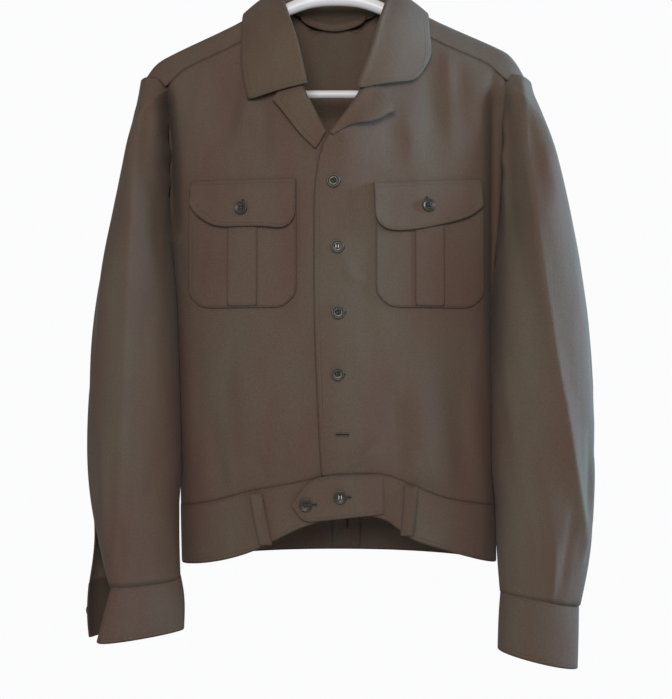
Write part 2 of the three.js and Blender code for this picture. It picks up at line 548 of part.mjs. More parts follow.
// The back, with the shoulders brought forward over the ridge to the yoke seam
function backPanel(name) {
  const arc = (SHOULDER_ROUND * Math.PI) / 2;
  const neck = track(BACK_NECK, "x", "behind");
  const belowRidge = (run) => {
    const far = Math.abs(run);
    return far < arc ? SHOULDER_ROUND * (1 - Math.cos(far / SHOULDER_ROUND)) : SHOULDER_ROUND + far - arc;
  };
  const turn = 14; // rows lie level up to this far behind the ridge
  const turnZ = ridgeZ(-SHOULDER_TIP_X) - belowRidge(turn);
  const forward = YOKE_FORWARD + YOKE_TONGUE.more;
  const length = turnZ - SIDE_WAIST_Z + turn + forward;
  const atLevel = (z) => (z - SIDE_WAIST_Z) / length;
  const levels = [SIDE_WAIST_Z, ...[...SIDE_LEVELS].reverse(), ...[...ARMHOLE_LEVELS].reverse()];
  const overRidge = [turn, 0, -13, -26, -38, -forward];
  const vs = [...levels.map(atLevel), ...overRidge.map((run) => 1 - (run + forward) / length)];
  const [armpitV, turnV] = [atLevel(ARMPIT_Z), atLevel(turnZ)];
  const place = (u, v) => {
    const side = u < 0.5 ? -1 : 1;
    const share = Math.abs(u - 0.5) * 2;
    let x = SHOULDER_TIP_X * share * side;
    let z = 0;
    let run = 0;
    for (let i = 0; i < 7; i++) {
      const end = neck(Math.abs(x)) - tongue(x);
      const start = Math.max(turn, end + turn);
      run = v < turnV ? start : lerp(start, end, (v - turnV) / (1 - turnV));
      z = ridgeZ(x) - belowRidge(run);
      if (v < armpitV) z = lerp(SIDE_WAIST_Z + backLift(x) + SEAM / 2, ARMPIT_Z, v / armpitV);
      else if (v < turnV) z = lerp(ARMPIT_Z, z, (v - armpitV) / (turnV - armpitV));
      const corner = (Math.asin(SEAM_CORNER_X / halfWidth(z)) * 2) / Math.PI;
      const outer = run < 0 ? lerp(backShare(z), corner, smoothstep(-run, 0, forward)) : backShare(z);
      x = girthX(side * share * (outer - 0.0016), z);
    }
    return run < 0 ? frontPoint(x, z) : backPoint(x, z);
  };
  const half = COLUMN_SHARES.map((share) => share / 2);
  const us = [...half.slice(1).reverse().map((h) => 0.5 - h), ...half.map((h) => 0.5 + h)];
  return { mesh: wall(name, place, { us, vs, facing: -1 }), place, vs, ridgeRow: levels.length + 1 };
}

// The armhole's edge, from the armpit up the front or back to the shoulder tip
function armholeEdge(front, back, side) {
  const outer = side < 0 ? 0 : 1;
  const seamRow = 1 + ARMHOLE_LEVELS.length;
  const frontEdge = front.vs.slice(0, seamRow).map((v) => front.place(1, v)).reverse();
  const rows = back.vs.map((v) => back.place(outer, v));
  const armpitRow = 1 + SIDE_LEVELS.length;
  const overRidge = rows.slice(back.ridgeRow).reverse();
  return {
    front: [...frontEdge, ...overRidge],
    back: [frontEdge[0], ...rows.slice(armpitRow + 1, back.ridgeRow + 1)],
  };
}

// Half of a sleeve's or cuff's section: from its inner edge to its outer edge
function halfSection(row, half, turn) {
  const inner = V3(row.inX, row.inY, 0);
  const outer = half === "front" ? V3(row.frontX, row.frontY, 0) : V3(row.backX, row.backY, 0);
  const bulge = half === "front" ? row.frontOut : row.backOut;
  const along = outer.clone().sub(inner);
  const out = V3(along.y, -along.x, 0).normalize();
  const away = (half === "front" ? -1 : 1) * Math.sign(out.y || 1);
  const centre = inner.clone().add(outer).multiplyScalar(0.5);
  const sine = Math.sin(turn) ** SLEEVE_ROUNDNESS;
  return centre.addScaledVector(along, -Math.cos(turn) / 2).addScaledVector(out, away * bulge * sine);
}

function sectionTracks(rows) {
  const columns = Object.keys(rows[0]).filter((k) => k !== "z");
  const tracks = columns.map((c) => [c, track(rows, "z", c)]);
  return (z) => Object.fromEntries(tracks.map(([c, f]) => [c, f(z)]));
}

// One half of a sleeve, hung from its half of the armhole's edge
function sleeveHalf(name, edge, side, half, table, creaseRows, footZ) {
  const section = sectionTracks(table);
  const creaseAt = creaseRows ? track(creaseRows, "z", "at") : null;
  const lengths = [0];
  for (let i = 1; i < edge.length; i++) lengths.push(lengths[i - 1] + edge[i].distanceTo(edge[i - 1]));
  const us = lengths.map((l) => l / lengths[lengths.length - 1]);
  const edgePoint = (u) => {
    let i = us.findIndex((k) => k >= u);
    i = clamp(i, 1, us.length - 1);
    return edge[i - 1].clone().lerp(edge[i], (u - us[i - 1]) / (us[i] - us[i - 1]));
  };
  const place = (u, v) => {
    const start = edgePoint(u);
    const foot = footZ(u);
    const z = lerp(start.z, foot, v ** 1.15);
    const p = halfSection(section(z), half, u * Math.PI);
    if (creaseAt) {
      const off = Math.abs(u - creaseAt(z)) / CREASE.width;
      const fade = smoothstep(creaseRows[0].z + CREASE.fade - z, 0, CREASE.fade * 2);
      const bump = CREASE.height * fade * Math.exp(-off);
      const centre = (section(z).inX + section(z).frontX) / 2;
      const away = V3(p.x - centre, p.y - section(z).inY, 0).normalize();
      p.addScaledVector(away, bump);
    }
    const tuck = SLEEVE_TUCK * smoothstep(p.y, 8, 24) * (1 - smoothstep(u, 0.3, 0.5));
    if (half === "back") p.x -= side * tuck;
    p.z = z;
    const ends = lerp(SLEEVE_HEAD.armpit, SLEEVE_HEAD.tip, u);
    const head = lerp(ends, SLEEVE_HEAD.middle, Math.sin(u * Math.PI) ** 1.5);
    const leaving = start.clone();
    const drop = start.z - z;
    const stand = (1 - Math.exp(-drop / HEAD_STAND.within)) * Math.sin(u * Math.PI) * HEAD_STAND[half];
    const overShoulder = CLOTH * smoothstep(u, 0.75, 0.9);
    leaving.x += side * (lerp(CLOTH + SEAM + 1.6, CLOTH + SEAM + 0.3, u) + HEAD_STAND.out * drop);
    leaving.y += half === "front" ? -stand - overShoulder : stand;
    leaving.z = z;
    leaving.lerp(p, smoothstep(drop, 0, head));
    const tilt = Math.abs(section(z).frontY - section(z).backY) / 48;
    const parting = 0.9 * SEAM + 0.55 * tilt * (1 - u);
    leaving.y += half === "front" ? -parting : parting;
    return leaving;
  };
  const vs = even(SLEEVE_STEPS).map((v) => v ** 1.25);
  const facing = (half === "front" ? -1 : 1) * side;
  return wall(name, place, { us, vs, facing });
}

// A cuff: one band from its front end round the inner edge to its back end
function cuff(name, rows, seam, closed, side) {
  const section = sectionTracks(rows);
  const depth = -rows[rows.length - 1].z;
  const place = (u, v) => {
    const drop = -v * depth;
    const row = section(drop);
    const lap = closed ? CUFF_LAP : 0;
    const round = lerp(-Math.PI - lap, Math.PI, u);
    const half = round >= -Math.PI && round < 0 ? "front" : "back";
    const turn = round < -Math.PI ? 2 * Math.PI + round : Math.abs(round);
    const p = halfSection(row, half, turn);
    const across = (1 - Math.cos(turn)) / 2;
    p.z = seam.level + drop - (seam[`${half}Drop`] + seam.hemDrop * v) * across;
    return p;
  };
  const us = even(24);
  const lift = (u) => (closed ? (BAND_CLOTH + 0.9) * (1 - smoothstep(u, 0.13, 0.24)) : 0);
  const mesh = wall(name, place, { us, vs: even(3), thick: BAND_CLOTH, lift, facing: side });
  const [u, v] = [closed ? 0.05 : 0.95, CUFF_BUTTON_DROP / depth];
  const du = place(u + 0.01, v).sub(place(u - 0.01, v));
  const normal = du.cross(place(u, v + 0.05).sub(place(u, v - 0.05))).normalize().multiplyScalar(side);
  const buttonName = name.replace("cuff", "button_cuff");
  const seated = closed ? GAP + 0.3 : 0.1;
  return [mesh, button(buttonName, place(u, v), normal, lift(u) + BAND_CLOTH + seated)];
}

// The collar: stand up from the neck seam, fold over the roll line, fall to the outer edge
function collar(name) {
  const onFront = (x, z, lift) => frontPoint(x, z).y - lift;
  const stations = COLLAR.map((c, i) => {
    const inFront = i < 3 || i > COLLAR.length - 4;
    const neckY = inFront ? onFront(c.neckX, c.neckZ, 0.8) : backPoint(c.neckX, c.neckZ).y - NECK_INSET;
    const rollY = c.rollY ?? onFront(c.rollX, c.rollZ, c.rollLift);
    const behind = backPoint(c.edgeX, c.edgeZ).y + c.edgeLift;
    const edgeY = c.edgeY ?? (inFront ? onFront(c.edgeX, c.edgeZ, c.edgeLift) : behind);
    return {
      neck: V3(c.neckX, neckY, c.neckZ),
      roll: V3(c.rollX, rollY, c.rollZ),
      edge: V3(c.edgeX, edgeY, c.edgeZ),
    };
  });
  const around = (key) => new THREE.CatmullRomCurve3(stations.map((s) => s[key]), false, "catmullrom", 0.5);
  const [neck, roll, edge] = ["neck", "roll", "edge"].map(around);
  const place = (u, v) => {
    const n = neck.getPoint(u);
    const r = roll.getPoint(u);
    const e = edge.getPoint(u);
    const tangent = roll.getTangent(u);
    const down = e.clone().sub(r).normalize();
    const out = tangent.clone().cross(down).normalize();
    const outward = V3(r.x, r.y + 5, 0).normalize();
    if (out.dot(V3(outward.x, outward.y, 0.6)) < 0) out.negate();
    const across = out.clone().cross(tangent).normalize();
    if (across.dot(down) < 0) across.negate();
    const side = across.multiplyScalar(COLLAR_FOLD);
    const points = [
      n,
      n.clone().lerp(r, 0.62).sub(side.clone().multiplyScalar(0.6)),
      r.clone().sub(side).addScaledVector(out, -2),
      r.clone(),
      r.clone().add(side).addScaledVector(out, 0.2).addScaledVector(down, 1.5),
      r.clone().lerp(e, 0.35).addScaledVector(out, COLLAR_CROWN),
      r.clone().lerp(e, 0.7).addScaledVector(out, COLLAR_CROWN * 0.7),
      e,
    ];
    return new THREE.CatmullRomCurve3(points, false, "centripetal").getPoint(v);
  };
  const vs = [0, 0.15, 0.28, 0.36, 0.43, 0.5, 0.58, 0.68, 0.78, 0.89, 1];
  return wall(name, place, { us: even(COLLAR_STEPS), vs, thick: CLOTH, facing: 1, material: OLIVE_FACING });
}

// A lapel: lies on its front from the roll line outward, its root turned in as a soft fold
function lapel(name, shape, side, face) {
  const roll = line(shape.roll);
  const edge = line(shape.edge);
  const place = patch(roll, edge, line(shape.top), line(shape.foot), frontPoint);
  const lift = (u, v) => {
    const p = place(u, v);
    const width = roll(u).distanceTo(edge(u));
    const along = clamp((v * width) / LAPEL_ROLL, 0, 1);
    const fold = LAPEL_ROLL * Math.sqrt(1 - (1 - along) ** 2) * smoothstep(width, 4, 20);
    const curl = shape.curl * smoothstep(v, 0.2, 1) * Math.sin(clamp(u + 0.25, 0, 1) * Math.PI) ** 0.8;
    return face(p.x, p.z) + GAP + fold + curl * smoothstep(width, 4, 25);
  };
  const vs = [0, 0.05, 0.14, 0.35, 0.6, 0.82, 1];
  return wall(name, place, { us: even(9), vs, lift, facing: side, material: OLIVE_FACING });
}

// A breast pocket: bag with cut corners, box pleat, and buttoned flap
function pocket(label, p, face) {
  const bagLift = (place) => (u, v) => {
    const q = place(u, v);
    return face(q.x, q.z) + GAP + 0.3;
  };
  const width = p.right - p.left;
  const cut = POCKET_ROUND / width;
  const bagX = (u) => lerp(p.left, p.right, u);
  const footZ = (u) => p.foot + POCKET_ROUND * (1 - clamp(Math.min(u, 1 - u) / cut, 0, 1));
  const bag = (u, v) => frontPoint(bagX(u), lerp(p.top, footZ(u), v));
  const bagUs = [0, cut * 0.4, cut, 0.28, 0.4, 0.5, 0.6, 0.72, 1 - cut, 1 - cut * 0.4, 1];
  const pleat = (u, v) => frontPoint(lerp(p.pleatLeft, p.pleatRight, u), lerp(p.top - 2, p.foot + 2, v));
  const top = line(p.flapTop);
  const foot = line(p.flapFoot);
  const left = line([p.flapTop[0], p.flapFoot[0]]);
  const right = line([p.flapTop[2], p.flapFoot[p.flapFoot.length - 1]]);
  const flap = patch(top, foot, left, right, frontPoint);
  const flapLift = (u, v) => {
    const q = flap(u, v);
    const over = 2 * (CLOTH + GAP) + GAP + 0.3;
    const edgeRise = 2.2 * smoothstep(v, 0.45, 1) * (0.6 + Math.abs(u - 0.5));
    return face(q.x, q.z) + lerp(GAP, over, smoothstep(v, 0, 0.24)) + edgeRise;
  };
  const [buttonX, buttonZ] = p.button;
  const standOff = face(buttonX, buttonZ) + 3 * (CLOTH + GAP) + GAP + p.buttonRise;
  const pleatLift = (u, v) => bagLift(pleat)(u, v) + CLOTH + GAP;
  const flapVs = [0, 0.1, 0.24, 0.45, 0.7, 0.88, 1];
  return [
    button(`button_flap_${label}`, frontPoint(buttonX, buttonZ), frontNormal(buttonX, buttonZ), standOff),
    wall(`pocket_${label}`, bag, { us: bagUs, vs: even(7), lift: bagLift(bag), facing: -1 }),
    wall(`pocket_pleat_${label}`, pleat, { us: even(3), vs: even(8), thick: 1.2, lift: pleatLift, facing: -1 }),
    wall(`pocket_flap_${label}`, flap, { us: even(14), vs: flapVs, lift: flapLift, facing: -1 }),
  ];
}

// A waistband piece between two places on the girth
function bandPiece(name, surface, seamZ, hemZ, fromX, toX, us, facing, lift) {
  const place = (u, v) => {
    let x = lerp(fromX, toX, u);
    let z = 0;
    for (let i = 0; i < 5; i++) {
      z = lerp(seamZ(x) - SEAM / 2, hemZ(x), v);
      const from = Math.abs(fromX) > 150 ? Math.sign(fromX) * 0.9984 : girthShare(fromX, z);
      const to = Math.abs(toX) > 150 ? Math.sign(toX) * 0.9984 : girthShare(toX, z);
      x = girthX(lerp(from, to, u), z);
    }
    return surface(x, z);
  };
  const raised = (u, v) => {
    const p = place(u, v);
    return lift(p.x);
  };
  return wall(name, place, { us, vs: even(3), thick: BAND_CLOTH, lift: raised, facing });
}

const bandOverlap = (x) => (BAND_CLOTH + GAP) * (1 - smoothstep(x, 22, 75));

function beltLoop(name, loop, surface, facing, face) {
  const place = (u, v) => {
    const x = lerp(loop.topX, loop.footX, v) + (u - 0.5) * loop.width;
    return surface(x, lerp(loop.topZ, loop.footZ, v));
  };
  const lift = (u, v) => {
    const p = place(u, v);
    return face(p.x) + BAND_CLOTH + GAP + 2.5 * Math.sin(v * Math.PI) ** 0.5;
  };
  return wall(name, place, { us: even(2), vs: even(7), lift, facing });
}

function waistTab(name) {
  const [tipTop, tipFoot] = [[TAB.tipX + 2, TAB.tipZ + 4], [TAB.tipX + 2, TAB.tipZ - 2]];
  const [rightTop, rightFoot] = [[TAB.rightX, TAB.top + 2], [TAB.rightX, TAB.foot + 4]];
  const top = line([tipTop, [TAB.shoulderX, TAB.top - 5], [TAB.shoulderX + 14, TAB.top], rightTop]);
  const [footTurn, footStart] = [[TAB.shoulderX - 6, TAB.foot - 5], [TAB.shoulderX + 6, TAB.foot - 4]];
  const foot = line([tipFoot, footTurn, footStart, rightFoot]);
  const left = line([tipTop, [TAB.tipX, TAB.tipZ + 1], tipFoot]);
  const right = line([rightTop, rightFoot]);
  const place = patch(top, foot, left, right, frontPoint);
  const lift = () => 2 * (BAND_CLOTH + GAP);
  return wall(name, place, { us: even(12), vs: even(4), lift, facing: -1 });
}

// A button, seated on its cloth with its face along the surface's normal
function button(name, point, normal, standOff) {
  const { radius, thick, sides } = BUTTON;
  const geometry = new THREE.CylinderGeometry(radius - 0.6, radius, thick, sides, 1);
  geometry.rotateX(Math.PI / 2).translate(0, 0, thick / 2);
  const mesh = named(name, geometry, BUTTON_PLASTIC);
  mesh.quaternion.setFromUnitVectors(V3(0, 0, 1), normal.clone().normalize());
  mesh.position.copy(point).addScaledVector(normal, standOff);
  return mesh;
}

function frontNormal(x, z) {
  const dx = frontPoint(x + 1, z).sub(frontPoint(x - 1, z));
  const dz = frontPoint(x, z + 1).sub(frontPoint(x, z - 1));
  return dx.cross(dz).normalize();
}

// The strap that hangs the tunic on a peg, inside the back neck
function hangLoop(name) {
  const place = (u, v) => {
    const x = lerp(HANG_LOOP.left, HANG_LOOP.right, u);
    const sag = HANG_LOOP.drop * Math.sin(u * Math.PI) ** 0.7;
    const z = HANG_LOOP.topZ - sag - v * HANG_LOOP.width;
    return backPoint(x, z);
  };
  const lift = (u) => NECK_INSET + CLOTH + 2 * GAP + 3 * Math.sin(u * Math.PI);
  return wall(name, place, { us: even(10), vs: even(1), thick: 1.2, lift, facing: -1 });
}

// The buttonhole tab inside the back of the waistband, which holds the trousers
function trouserTab(name) {
  const t = TROUSER_TAB;
  const place = (u, v) => backPoint(lerp(t.left, t.right, u), lerp(t.top, t.foot, v));
  return wall(name, place, { us: even(4), vs: even(4), lift: () => GAP, facing: -1 });
}

// The hanger: two arms, the bar between their ends, and the hook
function sweep(name, centre, half, steps, sides, material) {
  const place = (u, v) => {
    const c = centre(u);
    const ahead = centre(Math.min(u + 1e-3, 1)).sub(centre(Math.max(u - 1e-3, 0))).normalize();
    const up = V3(0, 1, 0).cross(ahead).normalize();
    const { wide, tall } = half(u);
    const turn = v * 2 * Math.PI;
    return c.add(V3(0, wide * Math.cos(turn), 0)).addScaledVector(up, tall * Math.sin(turn));
  };
  const position = [];
  for (let i = 0; i <= steps; i++)
    for (let j = 0; j < sides; j++) position.push(...place(i / steps, j / sides).toArray());
  const ends = [centre(0), centre(1)];
  ends.forEach((e) => position.push(...e.toArray()));
  const first = (steps + 1) * sides;
  const index = [];
  for (let i = 0; i < steps; i++)
    for (let j = 0; j < sides; j++) {
      const [a, b] = [i * sides + j, i * sides + ((j + 1) % sides)];
      index.push(a, a + sides, b, b, a + sides, b + sides);
    }
  for (let j = 0; j < sides; j++) {
    const k = (j + 1) % sides;
    index.push(first, j, k);
    index.push(first + 1, steps * sides + k, steps * sides + j);
  }
  const geometry = new THREE.BufferGeometry();
  geometry.setAttribute("position", new THREE.Float32BufferAttribute(position, 3));
  geometry.setIndex(index);
  geometry.computeVertexNormals();
  return named(name, geometry, material);
}

function hanger() {
  const nearTop = track(HANGER_ARM, "x", "top");
  const nearFoot = track(HANGER_ARM, "x", "foot");
  const last = HANGER_ARM[HANGER_ARM.length - 1].x;
  const level = (x) => {
    const past = smoothstep(Math.abs(x), last - 20, last + 25);
    const top = lerp(nearTop(Math.abs(x)), ridgeZ(x) - ARM_BELOW_CLOTH, past);
    const foot = lerp(nearFoot(Math.abs(x)), ridgeZ(x) - ARM_BELOW_CLOTH - ARM_TALL, past);
    return { mid: (top + foot) / 2, tall: (top - foot) / 2 };
  };
  const arm = (name, side) => {
    const x = (u) => side * lerp(0.15, HANGER.tipX, u);
    const half = (u) => ({ wide: HANGER.armWide, tall: level(x(u)).tall });
    const centre = (u) => V3(x(u), 0, level(x(u)).mid);
    return sweep(name, centre, half, HANGER.armSteps, HANGER.sides, WHITE_PLASTIC);
  };
  const end = (x) => level(x).mid - level(x).tall - GAP;
  const [leftEnd, rightEnd] = [end(-HANGER.tipX + 9) - 3, end(HANGER.tipX - 9) - 3];
  const bend = 20;
  const barPath = new THREE.CatmullRomCurve3(
    [
      V3(-HANGER.tipX + 9, 0, leftEnd),
      V3(-HANGER.tipX + 9, 0, leftEnd - 8),
      V3(-HANGER.tipX + bend, 0, HANGER.barZ + 3),
      V3(-HANGER.tipX + 2 * bend, 0, HANGER.barZ),
      V3(0, 0, HANGER.barZ),
      V3(HANGER.tipX - 2 * bend, 0, HANGER.barZ),
      V3(HANGER.tipX - bend, 0, HANGER.barZ + 3),
      V3(HANGER.tipX - 9, 0, rightEnd - 8),
      V3(HANGER.tipX - 9, 0, rightEnd),
    ],
    false,
    "centripetal",
  );
  const barHalf = () => ({ wide: HANGER.barHalf, tall: HANGER.barHalf });
  const bar = sweep("hanger_bar", (u) => barPath.getPointAt(u), barHalf, 20, 8, WHITE_PLASTIC);
  const r = HANGER.hookRadius;
  const centreZ = HANGER.wire - r;
  const onHook = (degrees) => {
    const a = THREE.MathUtils.degToRad(degrees);
    return V3(r * Math.cos(a), 0, centreZ + r * Math.sin(a));
  };
  const round = [-48, -15, 20, 55, 90, 125, 160, 195].map(onHook);
  const hookPath = new THREE.CatmullRomCurve3(
    [V3(0, 0, HANGER.neckTop - 0.3), V3(0, 0, HANGER.stemTop), ...round],
    false,
    "centripetal",
  );
  const wire = () => ({ wide: HANGER.wire, tall: HANGER.wire });
  const hook = sweep("hanger_hook", (u) => hookPath.getPointAt(u), wire, 22, HANGER.hookSides, WHITE_PLASTIC);
  return [arm("hanger_arm_left", -1), arm("hanger_arm_right", 1), bar, hook];
}

const tunic = new THREE.Group();
const leftFront = frontPanel("front_left", -1, LEFT_FRONT_EDGE, () => 0);
const rightFront = frontPanel("front_right", 1, RIGHT_FRONT_EDGE, rightFrontLift);
const back = backPanel("back");
tunic.add(leftFront.mesh, rightFront.mesh, back.mesh);

const sleeves = [
  { label: "left", side: -1, panel: leftFront, rows: LEFT_SLEEVE, crease: LEFT_CREASE, seam: LEFT_CUFF_SEAM },
  { label: "right", side: 1, panel: rightFront, rows: RIGHT_SLEEVE, crease: RIGHT_CREASE, seam: RIGHT_CUFF_SEAM },
];
for (const s of sleeves) {
  const edges = armholeEdge(s.panel, back, s.side);
  const foot = (drop) => (u) => s.seam.level + 2 * GAP - (drop * (1 - Math.cos(u * Math.PI))) / 2;
  const [frontFoot, backFoot] = [foot(s.seam.frontDrop), foot(s.seam.backDrop)];
  tunic.add(
    sleeveHalf(`sleeve_front_${s.label}`, edges.front, s.side, "front", s.rows, s.crease, frontFoot),
    sleeveHalf(`sleeve_back_${s.label}`, edges.back, s.side, "back", s.rows, null, backFoot),
  );
}
tunic.add(
  ...cuff("cuff_left", LEFT_CUFF, LEFT_CUFF_SEAM, false, -1),
  ...cuff("cuff_right", RIGHT_CUFF, RIGHT_CUFF_SEAM, true, 1),
);

tunic.add(collar("collar"));
tunic.add(lapel("lapel_left", LEFT_LAPEL, -1, leftFace), lapel("lapel_right", RIGHT_LAPEL, 1, rightFace));
tunic.add(...pocket("left", LEFT_POCKET, leftFace), ...pocket("right", RIGHT_POCKET, rightFace));

const alongFront = (front) => front.us.map((u) => 1 - u).reverse();
const [leftUs, rightUs] = [leftFront, rightFront].map(alongFront);
tunic.add(
  bandPiece("waistband_left", frontPoint, frontSeamZ, frontHemZ, -195, 14, leftUs, -1, () => 0),
  bandPiece("waistband_right", frontPoint, frontSeamZ, frontHemZ, 195, -15, rightUs, 1, bandOverlap),
  bandPiece("waistband_back", backPoint, backSeamZ, backHemZ, -195, 195, even(22), 1, () => 0),
  waistTab("waist_tab"),
);
FRONT_LOOPS.forEach((l, i) =>
  tunic.add(beltLoop(`belt_loop_front_${i + 1}`, l, frontPoint, -1, i === 0 ? () => 0 : bandOverlap)),
);
BACK_LOOPS.forEach((l, i) => tunic.add(beltLoop(`belt_loop_back_${i + 1}`, l, backPoint, 1, () => 0)));
tunic.add(hangLoop("hang_loop"), trouserTab("trouser_tab"));

for (const b of FRONT_BUTTONS)
  tunic.add(button(b.name, frontPoint(b.x, b.z), frontNormal(b.x, b.z), rightFace(b.x, b.z) + GAP));
const tabFace = 2 * (BAND_CLOTH + GAP) + CLOTH;
for (const b of WAIST_BUTTONS)
  tunic.add(button(b.name, frontPoint(b.x, b.z), frontNormal(b.x, b.z), tabFace + GAP));

tunic.add(...hanger());

export default tunic;
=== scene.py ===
import math

import bpy
import numpy as np
from mathutils import Matrix, Vector
from mathutils.bvhtree import BVHTree
from mathutils.kdtree import KDTree


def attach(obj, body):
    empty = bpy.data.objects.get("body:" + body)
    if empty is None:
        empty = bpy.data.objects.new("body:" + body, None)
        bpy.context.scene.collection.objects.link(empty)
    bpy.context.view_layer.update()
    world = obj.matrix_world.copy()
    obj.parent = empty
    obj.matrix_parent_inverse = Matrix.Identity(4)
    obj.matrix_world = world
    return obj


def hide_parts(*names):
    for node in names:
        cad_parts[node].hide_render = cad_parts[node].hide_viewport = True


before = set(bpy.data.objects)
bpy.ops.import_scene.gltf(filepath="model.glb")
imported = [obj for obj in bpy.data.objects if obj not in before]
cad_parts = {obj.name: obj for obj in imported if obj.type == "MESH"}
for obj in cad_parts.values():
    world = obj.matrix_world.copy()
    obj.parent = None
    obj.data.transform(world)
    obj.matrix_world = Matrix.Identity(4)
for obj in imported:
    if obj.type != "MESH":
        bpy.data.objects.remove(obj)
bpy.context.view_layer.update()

# The studio: a level camera 1.53 m before the hanger, at the height of the lower chest, a pale
# room, soft light from the front, a cool window on the right, and a plain pale floor.
bpy.ops.object.camera_add(location=(0, -1.53, -0.515), rotation=(math.radians(90), 0, 0))
camera = bpy.context.object
camera.data.sensor_fit = "HORIZONTAL"
camera.data.sensor_width = 36
camera.data.lens = 36 * 1239 / 672
bpy.context.scene.camera = camera
bpy.context.scene.view_settings.view_transform = "Standard"

world = bpy.data.worlds.new("pale_room")
world.use_nodes = True
world_nodes = world.node_tree.nodes
room = world_nodes["Background"]
room.inputs["Color"].default_value = (0.95, 0.96, 1.0, 1)
room.inputs["Strength"].default_value = 0.26
backdrop = world_nodes.new("ShaderNodeBackground")
backdrop.inputs["Color"].default_value = (0.97, 0.97, 0.98, 1)
seen = world_nodes.new("ShaderNodeLightPath")
either = world_nodes.new("ShaderNodeMixShader")
world.node_tree.links.new(seen.outputs["Is Camera Ray"], either.inputs[0])
world.node_tree.links.new(room.outputs[0], either.inputs[1])
world.node_tree.links.new(backdrop.outputs[0], either.inputs[2])
world.node_tree.links.new(either.outputs[0], world_nodes["World Output"].inputs["Surface"])
bpy.context.scene.world = world


def soft_light(name, place, size, power, colour, spread):
    """A square soft light that faces the middle of the tunic. The window's narrow spread keeps
    its colour off the floor."""
    bpy.ops.object.light_add(type="AREA", location=place)
    light = bpy.context.object
    light.name = name
    light.data.size = size
    light.data.energy = power
    light.data.color = colour
    light.data.spread = math.radians(spread)
    chest = Vector((0, 0, -0.45))
    light.rotation_euler = (chest - Vector(place)).to_track_quat("-Z", "Y").to_euler()


soft_light("window_right", (1.8, 0.05, -0.1), 0.7, 17, (0.42, 0.7, 1.0), 75)
soft_light("front_above", (-0.1, -2.0, 0.1), 0.8, 26, (1.0, 0.95, 0.91), 180)
soft_light("room_behind", (-0.8, 2.2, 0.6), 1.4, 26, (1.0, 0.97, 0.94), 180)

bpy.ops.object.select_all(action="DESELECT")
bpy.ops.mesh.primitive_plane_add(size=2.6, location=(0, 0, -1.6))
floor = bpy.context.object
floor.name = "floor"
paint = bpy.data.materials.new("floor_paint")
paint.use_nodes = True
paint.node_tree.nodes["Principled BSDF"].inputs["Base Color"].default_value = (0.78, 0.78, 0.8, 1)
paint.node_tree.nodes["Principled BSDF"].inputs["Roughness"].default_value = 0.8
floor.data.materials.append(paint)


# The two fronts: olive-brown twill of wool and cotton, piece-dyed and soft from washing. The
# right front laps over the left. They hang from the shoulder seams and bag out over the waist.
def linear(hex_colour):
    """An sRGB hex value as the linear colour that a shader takes."""
    parts = [int(hex_colour[i : i + 2], 16) / 255 for i in (1, 3, 5)]
    return [p / 12.92 if p <= 0.04045 else ((p + 0.055) / 1.055) ** 2.4 for p in parts] + [1]


def add_node(material, kind, settings={}, links={}):
    """Adds a node; settings are its properties and socket values, links its incoming sockets."""
    node = material.node_tree.nodes.new(kind)
    for name, value in settings.items():
        if isinstance(name, int) or name in node.inputs:
            node.inputs[name].default_value = value
        else:
            setattr(node, name, value)
    for name, source in links.items():
        material.node_tree.links.new(source, node.inputs[name])
    return node


